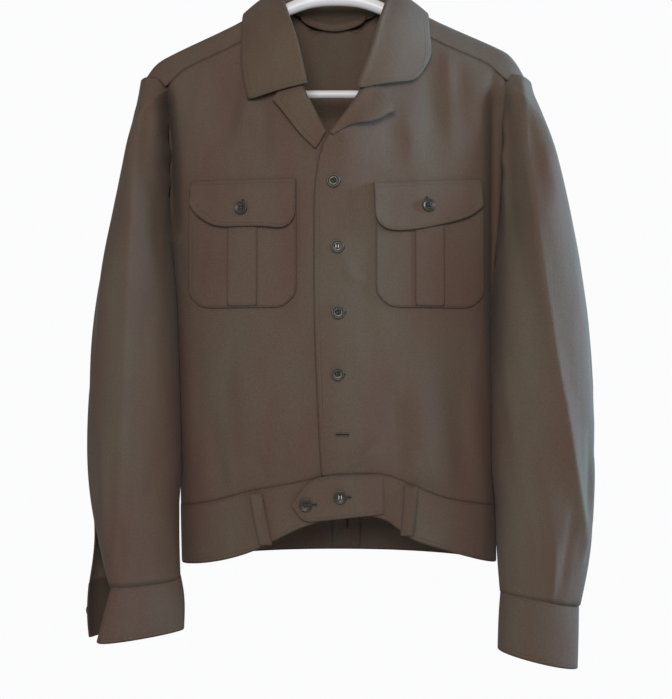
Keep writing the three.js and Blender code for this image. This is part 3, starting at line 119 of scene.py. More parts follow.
def twill(name, olive, brown, edge, reach):
    """Woven twill, matt, with a soft nap: two dye tones in broad upright clouds, ribs on the diagonal, uneven
    yarn, and painted shade: a darker tone at the rims and seams, on the inside of a cuff and in the hollows
    beside the armholes. Reach is how far the painted shade goes over to that tone."""
    material = bpy.data.materials.new(name)
    material.use_nodes = True
    shader = material.node_tree.nodes["Principled BSDF"]
    place = add_node(material, "ShaderNodeTexCoord").outputs["Object"]
    tall = add_node(material, "ShaderNodeMapping", {"Scale": (1, 1, 0.3)}, {"Vector": place}).outputs[0]
    # clouds about 60 mm across and three times as tall
    cloud = add_node(
        material, "ShaderNodeTexNoise", {"Scale": 17, "Detail": 2, "Roughness": 0.5}, {"Vector": tall}
    )
    tones = add_node(
        material, "ShaderNodeMapRange", {"From Min": 0.3, "From Max": 0.7}, {"Value": cloud.outputs[0]}
    )
    dye = add_node(
        material, "ShaderNodeMix", {"data_type": "RGBA", 6: linear(olive), 7: linear(brown)},
        {0: tones.outputs[0]},
    )
    # yarn of 0.5 mm varies in tone from thread to thread; drawn at 1.1 mm so that it shows
    yarn = add_node(
        material, "ShaderNodeTexNoise", {"Scale": 900, "Detail": 1, "Roughness": 0.6}, {"Vector": place}
    )
    uneven = add_node(
        material, "ShaderNodeMapRange", {"From Min": 0.3, "From Max": 0.7, "To Min": 0.86, "To Max": 1.13},
        {"Value": yarn.outputs[0]},
    )
    tint = add_node(
        material, "ShaderNodeMix", {"data_type": "RGBA", "blend_type": "MULTIPLY", 0: 1.0},
        {6: dye.outputs[2], 7: uneven.outputs[0]},
    )
    # painted shade: the cloth is mixed over to the darker edge colour near seams and edges, inside a cuff and
    # in the armhole hollows
    painted_shade = add_node(material, "ShaderNodeAttribute", {"attribute_name": "painted_shade"})
    darker = add_node(
        material, "ShaderNodeMath", {"operation": "MULTIPLY", 1: reach}, {0: painted_shade.outputs["Fac"]}
    )
    cloth = add_node(
        material, "ShaderNodeMix", {"data_type": "RGBA", 7: linear(edge)},
        {0: darker.outputs[0], 6: tint.outputs[2]},
    )
    material.node_tree.links.new(cloth.outputs[2], shader.inputs["Base Color"])
    # ribs of 0.7 mm, drawn at 1.4 mm so that they show in a close view
    ribs = add_node(
        material, "ShaderNodeTexWave",
        {
            "wave_type": "BANDS", "bands_direction": "DIAGONAL", "Scale": 317,
            "Distortion": 0.6, "Detail": 1, "Detail Scale": 3,
        },
        {"Vector": place},
    )
    raised = add_node(
        material, "ShaderNodeMath", {"operation": "MULTIPLY_ADD", 1: 0.6},
        {0: ribs.outputs[1], 2: yarn.outputs[0]},
    )
    weave = add_node(
        material, "ShaderNodeBump", {"Strength": 0.35, "Distance": 0.0004}, {"Height": raised.outputs[0]}
    )
    # slack of the cloth, about 20 mm across
    limp = add_node(
        material, "ShaderNodeTexNoise", {"Scale": 45, "Detail": 3, "Roughness": 0.5}, {"Vector": tall}
    )
    ease = add_node(
        material, "ShaderNodeBump", {"Strength": 0.5, "Distance": 0.0016},
        {"Height": limp.outputs[0], "Normal": weave.outputs[0]},
    )
    material.node_tree.links.new(ease.outputs[0], shader.inputs["Normal"])
    shader.inputs["Roughness"].default_value = 0.88
    shader.inputs["Specular IOR Level"].default_value = 0.16
    shader.inputs["Sheen Weight"].default_value = 0.06
    shader.inputs["Sheen Roughness"].default_value = 0.4
    return material


# matt and napped, with painted shade, almost black, along the seams and edges; on pockets, flaps and loops
# the painted shade at the rims is less dark
serge = twill("olive_brown_twill", "#5f564a", "#5e4a41", "#2a221c", 0.55)
serge_edged = twill("olive_brown_twill_edged", "#5f564a", "#5e4a41", "#3a3028", 0.4)


def points_of(piece):
    """The points of a piece's mesh as rows of x, y, z in metres."""
    places = np.empty(len(piece.data.vertices) * 3)
    piece.data.vertices.foreach_get("co", places)
    return places.reshape(-1, 3)


def set_points(piece, places):
    """Puts rows of x, y, z back into a piece's mesh."""
    piece.data.vertices.foreach_set("co", places.ravel())
    piece.data.update()


def mark_rim(piece, wall, grow):
    """Creases the cut edges of a wall of cloth and lets them reach out by grow, into the seam.
    The faces of a cut edge are those with two sides as long as the cloth is thick."""
    mesh = piece.data
    places = points_of(piece)
    pairs = {tuple(sorted(e.vertices)): e.index for e in mesh.edges}
    thin = {k for k in pairs if abs(np.linalg.norm(places[k[0]] - places[k[1]]) - wall) < 0.04 * wall}
    out = np.zeros_like(places)
    count = np.zeros(len(places))
    sharp = np.zeros(len(mesh.edges))
    for face in mesh.polygons:
        keys = [tuple(sorted(k)) for k in face.edge_keys]
        if sum(k in thin for k in keys) < 2:
            continue
        for v in face.vertices:
            out[v] += face.normal
            count[v] += 1
        for key in keys:
            if key not in thin:
                sharp[pairs[key]] = 0.9
    length = np.maximum(np.linalg.norm(out, axis=1, keepdims=True), 1e-9)
    set_points(piece, places + out / length * grow * (length > 0.1))
    mesh.attributes.new("crease_edge", "FLOAT", "EDGE").data.foreach_set("value", sharp)
    corner = (count > 1) & (length[:, 0] < 0.84 * count)
    mesh.attributes.new("crease_vert", "FLOAT", "POINT").data.foreach_set("value", 0.85 * corner)


def cloth_from(node, name, levels, wall=0.0016, grow=0.0003):
    """A cloth shell on a solid's form: its points merged, its faces paired, its cut edges kept
    crisp, and the rest rounded."""
    bpy.ops.object.select_all(action="DESELECT")
    piece = bpy.data.objects.new(name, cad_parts[node].data.copy())
    bpy.context.collection.objects.link(piece)
    bpy.context.view_layer.objects.active = piece
    piece.select_set(True)
    bpy.ops.mesh.customdata_custom_splitnormals_clear()
    bpy.ops.object.mode_set(mode="EDIT")
    bpy.ops.mesh.select_mode(type="EDGE")
    bpy.ops.mesh.select_all(action="SELECT")
    bpy.ops.mesh.remove_doubles(threshold=0.00001)
    bpy.ops.mesh.tris_convert_to_quads(face_threshold=math.radians(75), shape_threshold=math.radians(75))
    bpy.ops.object.mode_set(mode="OBJECT")
    mark_rim(piece, wall, grow)
    rounded = piece.modifiers.new("Rounded", "SUBSURF")
    rounded.levels = rounded.render_levels = levels
    bpy.ops.object.modifier_apply(modifier="Rounded")
    piece.data.materials.clear()
    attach(piece, "root")
    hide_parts(node)
    return piece


# the armhole hollows are painted darker as shade, fully so at this depth
FULL_HOLLOW = 0.012  # at this depth in metres the hollow of an armhole has its whole tone


def finish_cloth(piece, material, width=0.0028, shaded_inside=False, hollow_shade=0.0):
    """Marks how near each point is to the rim, as painted shade along the seams and edges, and gives the
    cloth its finish. The inner faces of a piece can be given painted shade the same way, and so can the
    hollow of an armhole."""
    mesh = piece.data
    sharp = np.zeros(len(mesh.edges))
    mesh.attributes["crease_edge"].data.foreach_get("value", sharp)
    ends = np.empty(len(mesh.edges) * 2, int)
    mesh.edges.foreach_get("vertices", ends)
    on_rim = np.unique(ends.reshape(-1, 2)[sharp > 0.2])
    places = points_of(piece)
    tree = KDTree(len(on_rim))
    for i, v in enumerate(on_rim):
        tree.insert(places[v], i)
    tree.balance()
    # painted shade along the seams and edges, fading out over width
    near = [max(0.0, 1 - tree.find(p)[2] / width) for p in places]
    # painted shade on faces that look in towards the middle of the piece
    if shaded_inside:
        middle = places.mean(axis=0)
        for i, v in enumerate(mesh.vertices):
            inward = v.normal[0] * (middle[0] - v.co[0]) + v.normal[1] * (middle[1] - v.co[1])
            near[i] = max(near[i], min(1.0, inward * 100))
    # painted shade in the armhole hollows, as strong as the hollow is deep
    if hollow_shade:
        hollow = -crease_at(places[:, 0], places[:, 2], ARMHOLE_HOLLOWS) / FULL_HOLLOW * (places[:, 1] < 0)
        near = np.maximum(near, hollow_shade * np.clip(hollow, 0, 1))
    mesh.attributes.new("painted_shade", "FLOAT", "POINT").data.foreach_set("value", near)
    mesh.attributes.remove(mesh.attributes["crease_edge"])
    mesh.attributes.remove(mesh.attributes["crease_vert"])
    mesh.materials.append(material)
    mesh.shade_smooth()


def crease_at(across, up, creases):
    """How far a set of soft creases moves each point. A crease runs from its first to its last
    point with a sideways bow, and dies out at both ends. Sizes in mm, ridges positive."""
    total = np.zeros(len(across))
    for x0, z0, x1, z1, bow, wide, deep in creases:
        start = np.array([x0, z0]) / 1000
        line = np.array([x1, z1]) / 1000 - start
        length = np.hypot(*line)
        along = ((across - start[0]) * line[0] + (up - start[1]) * line[1]) / length**2
        inside = np.clip(along, 0, 1)
        side = ((across - start[0]) * -line[1] + (up - start[1]) * line[0]) / length
        side -= bow / 1000 * 4 * inside * (1 - inside)
        past = (along - inside) * length
        fade = np.sin(np.clip(inside, 0.0, 1.0) * math.pi) ** 0.7
        near = np.exp(-((side * 1000 / wide) ** 2) - (past * 1000 / wide) ** 2)
        total += deep / 1000 * near * fade
    return total


# soft creases of the front: from x, z to x, z, bow, width and depth
FRONT_CREASES = [
    (-112, -150, -142, -280, 4, 13, -5.2),
    (-86, -186, -84, -306, -3, 11, -4.8),
    (-100, -160, -118, -290, 0, 9, 2.4),
    (-160, -165, -178, -270, 3, 10, 2.4),
    (-136, -160, -160, -280, 0, 9, 1.8),
    (-150, -205, -160, -305, 2, 9, -2.2),
    (-62, -390, -58, -520, 3, 13, -2.2),
    (-36, -470, -33, -650, 2, 10, -2.6),
    (-118, -520, -98, -662, 6, 14, 2.6),
    (-150, -590, -136, -695, 3, 11, -2.8),
    (-100, -630, -82, -678, 2, 8, -2.6),
    (-60, -612, -52, -670, -1, 7, -2.2),
    (-128, -640, -122, -690, 2, 7, 2.0),
    (-172, -480, -160, -640, 3, 12, -2.2),
    (3, -660, 54, -630, 3, 4, 3.0),
    (6, -651, 50, -620, 3, 5, -2.8),
    (6, -330, 34, -352, 2, 8, -2.4),
    (8, -398, 38, -378, 2, 8, -2.4),
    (6, -412, 34, -440, -2, 8, 2.0),
    (4, -262, -22, -292, 2, 9, -2.6),
    (118, -140, 112, -300, -5, 15, -2.4),
    (152, -165, 168, -280, -4, 12, -2.2),
    (136, -150, 142, -290, -3, 9, 2.2),
    (90, -240, 84, -308, 2, 12, 1.0),
    (46, -258, 96, -290, 8, 14, -1.2),
    (66, -200, 70, -300, 3, 13, -1.0),
    (30, -420, 52, -540, -5, 14, -2.0),
    (60, -550, 86, -660, 4, 11, -2.8),
    (100, -530, 112, -676, -4, 15, 2.8),
    (140, -550, 150, -694, 3, 13, -2.8),
    (166, -510, 172, -670, -3, 11, 2.4),
    (78, -610, 96, -672, 2, 8, 2.0),
]
# the hollows beside the armholes, where the front drops away under the sleeve's fold; the cloth there is also
# painted darker as shade
ARMHOLE_HOLLOWS = [
    (-211, -180, -197, -380, 2, 9, -13),
    (-208, -190, -203, -330, 0, 6, -5),
    (191, -175, 192, -560, -2, 7, -12),
]


def press_front(places):
    """The front's creases and hollows. Both die out over the last 14 to 20 mm before the hanger's
    plane, and what lies in or behind it stays."""
    depth = crease_at(places[:, 0], places[:, 2], FRONT_CREASES)
    depth *= np.clip((-0.006 - places[:, 1]) / 0.02, 0, 1)
    hollow = crease_at(places[:, 0], places[:, 2], ARMHOLE_HOLLOWS)
    hollow *= np.clip((-0.001 - places[:, 1]) / 0.014, 0, 1)
    places[:, 1] -= depth + hollow
    return places


fronts = {}
for side in ("left", "right"):
    front = cloth_from(f"front_{side}", f"cloth_front_{side}", 3)
    set_points(front, press_front(points_of(front)))
    # the front's armhole hollow is painted darker as shade
    finish_cloth(front, serge, hollow_shade=0.8)
    fronts[side] = front


# The back: one wide panel of the same twill, brought forward over the hanger's arms to the
# shoulder seams, full over the blades and drawn in by the waistband.
BACK_CREASES = [
    (-128, -175, -100, -380, 8, 16, -2.6),
    (126, -175, 96, -400, -8, 16, -2.6),
    (-30, -150, -44, -420, 5, 18, 2.0),
    (40, -150, 48, -380, -5, 18, 2.0),
    (0, -300, 6, -560, 5, 16, -2.0),
    (-70, -430, -62, -690, 4, 15, 2.6),
    (-104, -480, -96, -698, -4, 10, -2.4),
    (-34, -520, -28, -700, 3, 9, -2.0),
    (34, -500, 30, -700, -3, 10, 2.2),
    (76, -450, 72, -698, 4, 12, -2.4),
    (116, -470, 108, -698, -3, 13, 2.4),
    (150, -500, 140, -700, 3, 9, -1.8),
    (-150, -510, -140, -700, -3, 9, -1.8),
    (-10, -630, -6, -700, 1, 6, 1.4),
    (56, -640, 52, -702, 1, 6, -1.3),
]


def press_back(places):
    """The back's creases. They die out towards the hanger, and what lies forward of it stays."""
    behind = np.clip((places[:, 1] - 0.012) / 0.02, 0, 1)
    places[:, 1] += crease_at(places[:, 0], places[:, 2], BACK_CREASES) * behind
    return places


back = cloth_from("back", "cloth_back", 2)
set_points(back, press_back(points_of(back)))
finish_cloth(back, serge)


# The sleeves: two halves each, front and back, sewn along the inner and outer arm. They hang
# straight down, a little twisted, with the pressed crease of the front half still showing.

# the middle of each sleeve down its length: level, x and y in mm
SLEEVE_AXIS = {
    "left": [
        (-160, -218, 0), (-236, -226, 0), (-353, -238, -6), (-470, -245, -18), (-620, -245, -27),
        (-735, -238, -36), (-800, -236, -52),
    ],
    "right": [
        (-160, 216, 0), (-236, 228, 0), (-353, 242, -4), (-470, 249, -18), (-610, 252, -28),
        (-718, 248, -36), (-812, 243, -50),
    ],
}
# soft creases round the sleeve: angle from the front towards the outside, level, then the same
SLEEVE_CREASES = {
    "left": [
        (6, -190, -4, -330, 0, 8, -1.6), (36, -210, 30, -470, 0, 7, 1.2), (60, -300, 44, -560, 3, 8, -1.6),
        (-30, -420, -10, -640, 3, 9, -1.6), (30, -600, 40, -760, 0, 7, 1.6),
        (-38, -640, -8, -770, 2, 8, -1.5), (-62, -250, -40, -420, 3, 9, 1.4),
        (74, -560, 62, -735, 0, 8, 1.8), (8, -700, 4, -785, 0, 6, 1.2),
        (130, -260, 150, -500, 3, 12, -2.2), (170, -300, 196, -560, -4, 13, 2.2),
        (150, -560, 166, -770, 2, 9, -1.8), (212, -420, 190, -700, 3, 10, -1.8),
        (120, -640, 128, -780, 0, 8, 1.6), (-70, -215, -74, -330, 0, 9, -4),
    ],
    "right": [
        (0, -190, 10, -360, 0, 9, -1.6), (34, -200, 36, -480, 0, 7, 1.4), (58, -340, 66, -600, 2, 8, -2.2),
        (-36, -330, -14, -560, 3, 10, -1.8), (16, -560, 38, -700, 0, 9, 1.6),
        (52, -600, 70, -770, 0, 6, -2.2), (70, -640, 58, -780, 2, 6, 2.4),
        (84, -560, 92, -720, 0, 7, -1.8), (-20, -640, 2, -790, 0, 8, -1.4),
        (38, -690, 34, -800, 0, 6, -1.6), (14, -740, 18, -812, 0, 5, 1.4), (-58, -520, -34, -700, 2, 8, 1.4),
        (135, -280, 152, -540, 3, 12, -2.2), (178, -320, 200, -580, -4, 13, 2.2),
        (160, -600, 150, -780, 2, 9, -1.8), (215, -460, 196, -720, 3, 10, -1.8),
        (-52, -200, -58, -420, 0, 10, 3),
    ],
}
# the pressed crease, as its level and x down the front of the sleeve
PRESSED = {
    "left": [
        (-195, -230), (-284, -237), (-436, -243), (-588, -249), (-664, -252), (-733, -256), (-800, -260),
    ],
    "right": [
        (-195, 226), (-284, 228), (-360, 234), (-436, 243), (-511, 254), (-569, 264), (-645, 275),
        (-702, 286), (-760, 295),
    ],
}
PRESSED_HEIGHT = {"left": 0.0042, "right": 0.0075}  # in metres
# where the sleeve closes on the body: x, level and how far it is drawn in, over 12 mm each way
ARMHOLE_CORNERS = {
    "left": [(-207, -198, 4), (-206, -274, 3.5), (-206, -240, 2), (-206, -310, 2)],
    "right": [(202, -195, 4), (198, -282, 3.5), (199, -240, 2), (198, -320, 2)],
}
DEGREE = 48.0 / 57.3  # millimetres round a sleeve of 48 mm radius
CREASE_DEPTH = 1.6  # the sleeve's creases are this many times as deep as their table says
ARM_REST = 0.0035  # how far the inside of the arm is pressed in where it rests on the body, in metres


def press_sleeve(places, side):
    """Moves each point towards or away from the sleeve's axis by the creases at its angle, then
    rests the arm on the body and closes the armhole."""
    axis = np.array(sorted(SLEEVE_AXIS[side])) / 1000
    x = np.interp(places[:, 2], axis[:, 0], axis[:, 1])
    y = np.interp(places[:, 2], axis[:, 0], axis[:, 2])
    out = 1 if side == "right" else -1
    dx, dy = (places[:, 0] - x) * out, places[:, 1] - y
    radius = np.hypot(dx, dy)
    angle = np.degrees(np.arctan2(dx, -dy))
    angle = np.where(angle < -90, angle + 360, angle)
    top = np.clip((-0.16 - places[:, 2]) / 0.05, 0, 1)
    depth = np.zeros(len(places))
    for a0, z0, a1, z1, bow, wide, deep in SLEEVE_CREASES[side]:
        row = (a0 * DEGREE, z0, a1 * DEGREE, z1, bow, wide, CREASE_DEPTH * deep)
        depth += crease_at(angle * DEGREE / 1000, places[:, 2], [row])
    # the pressed crease is a ridge that falls off a little slower on its outer side
    line = np.array(sorted(PRESSED[side]))
    off = (places[:, 0] * 1000 - np.interp(places[:, 2] * 1000, line[:, 0], line[:, 1])) * out
    facing_front = np.clip(-3 * dy / np.maximum(radius, 0.001), 0, 1)
    ends = np.clip((places[:, 2] * 1000 - line[0, 0]) / 40, 0, 1)
    away = np.sqrt(off**2 + 3) - 1.7
    fold = np.where(off > 0, np.exp(-away / 10), np.exp(-away / 8))
    depth += PRESSED_HEIGHT[side] * fold * ends * facing_front
    depth *= top
    places[:, 0] += out * dx / np.maximum(radius, 0.001) * depth
    places[:, 1] += dy / np.maximum(radius, 0.001) * depth
    # the inside of the arm rests against the body between the chest and the waistband
    inner = np.clip(-dx / np.maximum(radius, 0.001), 0, 1) ** 2
    level = np.clip((-0.36 - places[:, 2]) / 0.06, 0, 1) * np.clip((places[:, 2] + 0.7) / 0.04, 0, 1)
    places[:, 0] -= out * ARM_REST * inner * level
    hollow = crease_at(places[:, 0], places[:, 2], ARMHOLE_HOLLOWS)
    places[:, 1] -= hollow * np.clip((-0.001 - places[:, 1]) / 0.014, 0, 1)
    for x0, z0, reach in ARMHOLE_CORNERS[side]:
        far = np.hypot(places[:, 0] * 1000 - x0, places[:, 2] * 1000 - z0)
        near = np.exp(-((far / 12) ** 2)) * (places[:, 1] < 0)
        places[:, 0] -= out * reach / 1000 * near
    return places


for side in ("left", "right"):
    for half in ("front", "back"):
        sleeve = cloth_from(f"sleeve_{half}_{side}", f"cloth_sleeve_{half}_{side}", 3, grow=0.0028)
        set_points(sleeve, press_sleeve(points_of(sleeve), side))
        # the sleeve's armhole hollow is painted darker as shade
        finish_cloth(sleeve, serge, 0.0018, hollow_shade=0.8)


# The cuffs: a doubled band of the twill, sewn to the end of each sleeve. The right one is buttoned, the left
# one hangs open and shows its inside, which is painted darker as shade.
cuffs = {}
for side in ("left", "right"):
    cuff = cloth_from(f"cuff_{side}", f"cloth_cuff_{side}", 3, wall=0.002, grow=0.001)
    # the inside of the cuff is painted darker as shade
    finish_cloth(cuff, serge, 0.0018, shaded_inside=True)
    cuffs[side] = cuff


# The collar: two thicknesses of the twill, stand and fall cut in one. It is rolled over, lies
# on the shoulders and is topstitched round its edge.

# the same matt twill; its edges have a painted shade hardly darker than the rest
facing = twill("olive_brown_twill_collar", "#5f5547", "#5e4a40", "#4a4035", 0.35)
collar = cloth_from("collar", "cloth_collar", 2)
finish_cloth(collar, facing)


# The lapels: the fronts' own facing turned back, the left one flat, the right one curling up.
# Their tops slip under the ends of the collar.
COLLAR_ENDS = -0.217  # the level below which a lapel is free of the collar
CURLED_TIP = (0.0635, -0.2294)  # x and level of the right lapel's point
lapels = {}
for side in ("left", "right"):
    lapel = cloth_from(f"lapel_{side}", f"cloth_lapel_{side}", 3)
    places = points_of(lapel)
    under = np.clip((places[:, 2] - COLLAR_ENDS) / 0.012, 0, 1) ** 2
    places[:, 2] += 0.006 * under
    places[:, 1] += 0.005 * under
    if side == "right":
        far = (places[:, 0] - CURLED_TIP[0]) ** 2 + (places[:, 2] - CURLED_TIP[1]) ** 2
        tip = np.exp(-(far / 0.000045))  # the curl dies out over about 7 mm
        places[:, 0] += 0.003 * tip
        places[:, 2] -= 0.0035 * tip
    set_points(lapel, places)
    finish_cloth(lapel, facing)
    lapels[side] = lapel


# The breast pockets: a patch bag of the twill with a box pleat and cut corners, under a shaped
# flap of two layers. All are topstitched down and follow the creases of the front.
pockets = {}
for side in ("left", "right"):
    pocket_flats = {"pocket": (0.135, 0.145), "pocket_pleat": (0.036, 0.14), "pocket_flap": (0.132, 0.062)}
    for part, flat in pocket_flats.items():
        wall = 0.0012 if part == "pocket_pleat" else 0.0016
        piece = cloth_from(f"{part}_{side}", f"cloth_{part}_{side}", 3, wall, grow=0)
        set_points(piece, press_front(points_of(piece)))
        finish_cloth(piece, serge_edged)
        under = f"front_{side}" if part == "pocket" else f"pocket_{side}"
        pockets[part, side] = piece


# The waistband: a doubled band of the twill in three lengths, sewn to the gathered body, with a
# pointed tab, two loops before and two behind, and a trouser tab inside. The strap inside the
# back neck is made with them.
band_flats = {
    "waistband_left": (0.25, 0.075),
    "waistband_right": (0.26, 0.075),
    "waistband_back": (0.42, 0.075),
}
bands = {}
for part, flat in band_flats.items():
    band = cloth_from(part, f"cloth_{part}", 3, wall=0.002, grow=0.001)
    places = points_of(band)
    set_points(band, press_back(places) if part == "waistband_back" else press_front(places))
    finish_cloth(band, serge, 0.0018)
    bands[part] = band

small_flats = {
    "waist_tab": ("front", (0.108, 0.052)),
    "belt_loop_front_1": ("front", (0.015, 0.066)),
    "belt_loop_front_2": ("front", (0.015, 0.066)),
    "belt_loop_back_1": ("back", (0.015, 0.074)),
    "belt_loop_back_2": ("back", (0.015, 0.074)),
    "hang_loop": ("back", (0.1, 0.011)),
    "trouser_tab": ("back", (0.037, 0.077)),
}
# the front loops gape along one edge: which side, and the loop's middle
LIFTED = {"belt_loop_front_1": (-1, -0.081), "belt_loop_front_2": (1, 0.0845)}
GAPE = 0.0045  # how far the free edge stands off, in metres
HALF_LOOP = 0.007  # from a loop's middle to its edge, in metres
small = {}
for part, (face, flat) in small_flats.items():
    band = cloth_from(part, f"cloth_{part}", 3, wall=0.0012 if part == "hang_loop" else 0.0016, grow=0)
    places = points_of(band)
    if part in LIFTED:
        edge, middle = LIFTED[part]
        places[:, 1] -= GAPE * np.clip((places[:, 0] - middle) * edge / HALF_LOOP, 0, 1)
    set_points(band, press_back(places) if face == "back" else press_front(places))
    finish_cloth(band, serge_edged)
    under = "waistband_back" if face == "back" else "waistband_right"
    small[part] = band


# The hanger: two arms that meet under the hook, a trouser bar and the round hook, all of white
# polypropylene, injection moulded.

# half glossy, scuffed by use, so that tone and gloss are a little uneven
plastic = bpy.data.materials.new("moulded_polypropylene_white")
plastic.use_nodes = True
shader = plastic.node_tree.nodes["Principled BSDF"]
place = add_node(plastic, "ShaderNodeTexCoord").outputs["Object"]
haze = add_node(plastic, "ShaderNodeTexNoise", {"Scale": 60, "Detail": 3}, {"Vector": place})
tone = add_node(
    plastic, "ShaderNodeMix", {"data_type": "RGBA", 6: linear("#dfe1e6"), 7: linear("#f0f1f3")},
    {0: haze.outputs[0]},
)
gloss = add_node(
    plastic, "ShaderNodeMapRange", {"To Min": 0.28, "To Max": 0.42}, {"Value": haze.outputs[0]}
)
plastic.node_tree.links.new(tone.outputs[2], shader.inputs["Base Color"])
plastic.node_tree.links.new(gloss.outputs[0], shader.inputs["Roughness"])
shader.inputs["IOR"].default_value = 1.49


def moulded(name, nodes):
    """A smooth bar on the solids of some nodes; two that meet end to end become one piece."""
    bpy.ops.object.select_all(action="DESELECT")
    for node in nodes:
        copy = bpy.data.objects.new(name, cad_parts[node].data.copy())
        bpy.context.collection.objects.link(copy)
        bpy.context.view_layer.objects.active = copy
        copy.select_set(True)
    bpy.ops.object.join()
    bar = bpy.context.object
    bpy.ops.mesh.customdata_custom_splitnormals_clear()
    bpy.ops.object.mode_set(mode="EDIT")
    bpy.ops.mesh.select_mode(type="FACE")
    bpy.ops.mesh.select_all(action="SELECT")
    bpy.ops.mesh.remove_doubles(threshold=0.00001)
    if len(nodes) > 1:
        bpy.ops.mesh.select_all(action="DESELECT")
        bpy.ops.object.mode_set(mode="OBJECT")
        for face in bar.data.polygons:
            face.select = abs(face.center.x) < 0.001
        bpy.ops.object.mode_set(mode="EDIT")
        bpy.ops.mesh.delete(type="FACE")
        bpy.ops.mesh.select_mode(type="EDGE")
        bpy.ops.mesh.select_non_manifold()
        bpy.ops.mesh.bridge_edge_loops()
        bpy.ops.mesh.select_all(action="SELECT")
    bpy.ops.mesh.tris_convert_to_quads(face_threshold=math.radians(60), shape_threshold=math.radians(60))
    bpy.ops.mesh.normals_make_consistent()
    bpy.ops.object.mode_set(mode="OBJECT")
    rounded = bar.modifiers.new("Rounded", "SUBSURF")
    rounded.levels = rounded.render_levels = 2
    bpy.ops.object.modifier_apply(modifier="Rounded")
    bar.data.materials.clear()
    bar.data.materials.append(plastic)
    bar.data.shade_smooth()
    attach(bar, "root")
    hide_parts(*nodes)


moulded("plastic_arms", ["hanger_arm_left", "hanger_arm_right"])
moulded("plastic_bar", ["hanger_bar"])
moulded("plastic_hook", ["hanger_hook"])


# The buttons: dark olive urea plastic, moulded with a raised rim and four holes, and sewn to
# the cloth through them with doubled thread.

# half matt from wear, its two tones faintly marbled by the moulding
urea = bpy.data.materials.new("moulded_urea_button")
urea.use_nodes = True
shader = urea.node_tree.nodes["Principled BSDF"]
place = add_node(urea, "ShaderNodeTexCoord").outputs["Object"]
marble = add_node(
    urea, "ShaderNodeTexNoise", {"Scale": 240, "Detail": 3, "Distortion": 0.6}, {"Vector": place}
)
tone = add_node(
    urea, "ShaderNodeMix", {"data_type": "RGBA", 6: linear("#26241e"), 7: linear("#3f3b34")},
    {0: marble.outputs[0]},
)
urea.node_tree.links.new(tone.outputs[2], shader.inputs["Base Color"])
shader.inputs["Roughness"].default_value = 0.38


def at_node(node):
    """The middle of a button's solid and its axis, pointing away from the cloth."""
    places = points_of(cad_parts[node])
    middle = (places.min(0) + places.max(0)) / 2
    # the first of the axes is the shortest, through the button's thickness
    _, axes = np.linalg.eigh(np.cov((places - middle).T))
    axis = Vector(axes[:, 0])
    ends = (places - middle) @ np.array(axis)
    spread = np.linalg.norm(places - middle - np.outer(ends, axis), axis=1)
    if spread[ends > 0].max() > spread[ends < 0].max():
        axis = -axis
    return Vector(middle), axis


def new_button(name):
    """A disc turned from its profile, dished inside its rim and drilled with four holes."""
    bpy.ops.object.select_all(action="DESELECT")
    bpy.ops.mesh.primitive_cylinder_add(vertices=40, radius=0.0078, depth=0.0024)
    disc = bpy.context.object
    disc.name = name
    bpy.ops.object.mode_set(mode="EDIT")
    bpy.ops.mesh.select_mode(type="FACE")
    bpy.ops.mesh.select_all(action="DESELECT")
    bpy.ops.object.mode_set(mode="OBJECT")
    for face in disc.data.polygons:
        face.select = face.normal.z > 0.9
    bpy.ops.object.mode_set(mode="EDIT")
    for thickness, depth in ((0.0004, 0.0004), (0.0011, 0.0), (0.0006, -0.0009), (0.0012, -0.0001)):
        bpy.ops.mesh.inset(thickness=thickness, depth=depth)
    bpy.ops.object.mode_set(mode="OBJECT")
    # four holes of 1.8 mm, each 2.1 mm from the middle
    for i in range(4):
        angle = math.radians(45 + 90 * i)
        hole = (0.0021 * math.cos(angle), 0.0021 * math.sin(angle), 0)
        bpy.ops.mesh.primitive_cylinder_add(vertices=12, radius=0.0009, depth=0.01, location=hole)
        drill = bpy.context.object
        cut = disc.modifiers.new("Drill", "BOOLEAN")
        cut.object = drill
        bpy.context.view_layer.objects.active = disc
        bpy.ops.object.modifier_apply(modifier="Drill")
        bpy.data.objects.remove(drill)
    return disc


pattern = new_button("button_pattern")
button_nodes = [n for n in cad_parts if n.startswith("button_")]
for node in button_nodes:
    middle, axis = at_node(node)
    mesh = pattern.data.copy()
    turn = axis.to_track_quat("Z", "Y").to_matrix().to_4x4()
    mesh.transform(Matrix.Translation(middle) @ turn)
    copy = bpy.data.objects.new(f"disc_{node}", mesh)
    bpy.context.collection.objects.link(copy)
    mesh.materials.append(urea)
    mesh.shade_smooth()
    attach(copy, "root")
    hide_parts(node)
bpy.data.objects.remove(pattern)


# The sewing: topstitching in olive cotton thread, 3.3 mm a stitch, a few millimetres inside the
# edges that it holds flat. One stitch is modelled, and each row is copies of it on the cloth.

# matt, its two tones from the twist of the ply
thread = bpy.data.materials.new("olive_cotton_thread")
thread.use_nodes = True
shader = thread.node_tree.nodes["Principled BSDF"]
place = add_node(thread, "ShaderNodeTexCoord").outputs["Object"]
ply = add_node(thread, "ShaderNodeTexNoise", {"Scale": 700, "Detail": 2}, {"Vector": place})
tone = add_node(
    thread, "ShaderNodeMix", {"data_type": "RGBA", 6: linear("#30291f"), 7: linear("#564a3b")},
    {0: ply.outputs[0]},
)
thread.node_tree.links.new(tone.outputs[2], shader.inputs["Base Color"])
shader.inputs["Roughness"].default_value = 0.7

bpy.ops.object.select_all(action="DESELECT")
bpy.ops.mesh.primitive_ico_sphere_add(subdivisions=1, radius=0.001)
stitch = bpy.context.object
bpy.ops.object.mode_set(mode="EDIT")
bpy.ops.transform.resize(value=(1.4, 0.4, 0.3))
bpy.ops.object.mode_set(mode="OBJECT")
stitch.data.materials.append(thread)
stitch.data.shade_smooth()


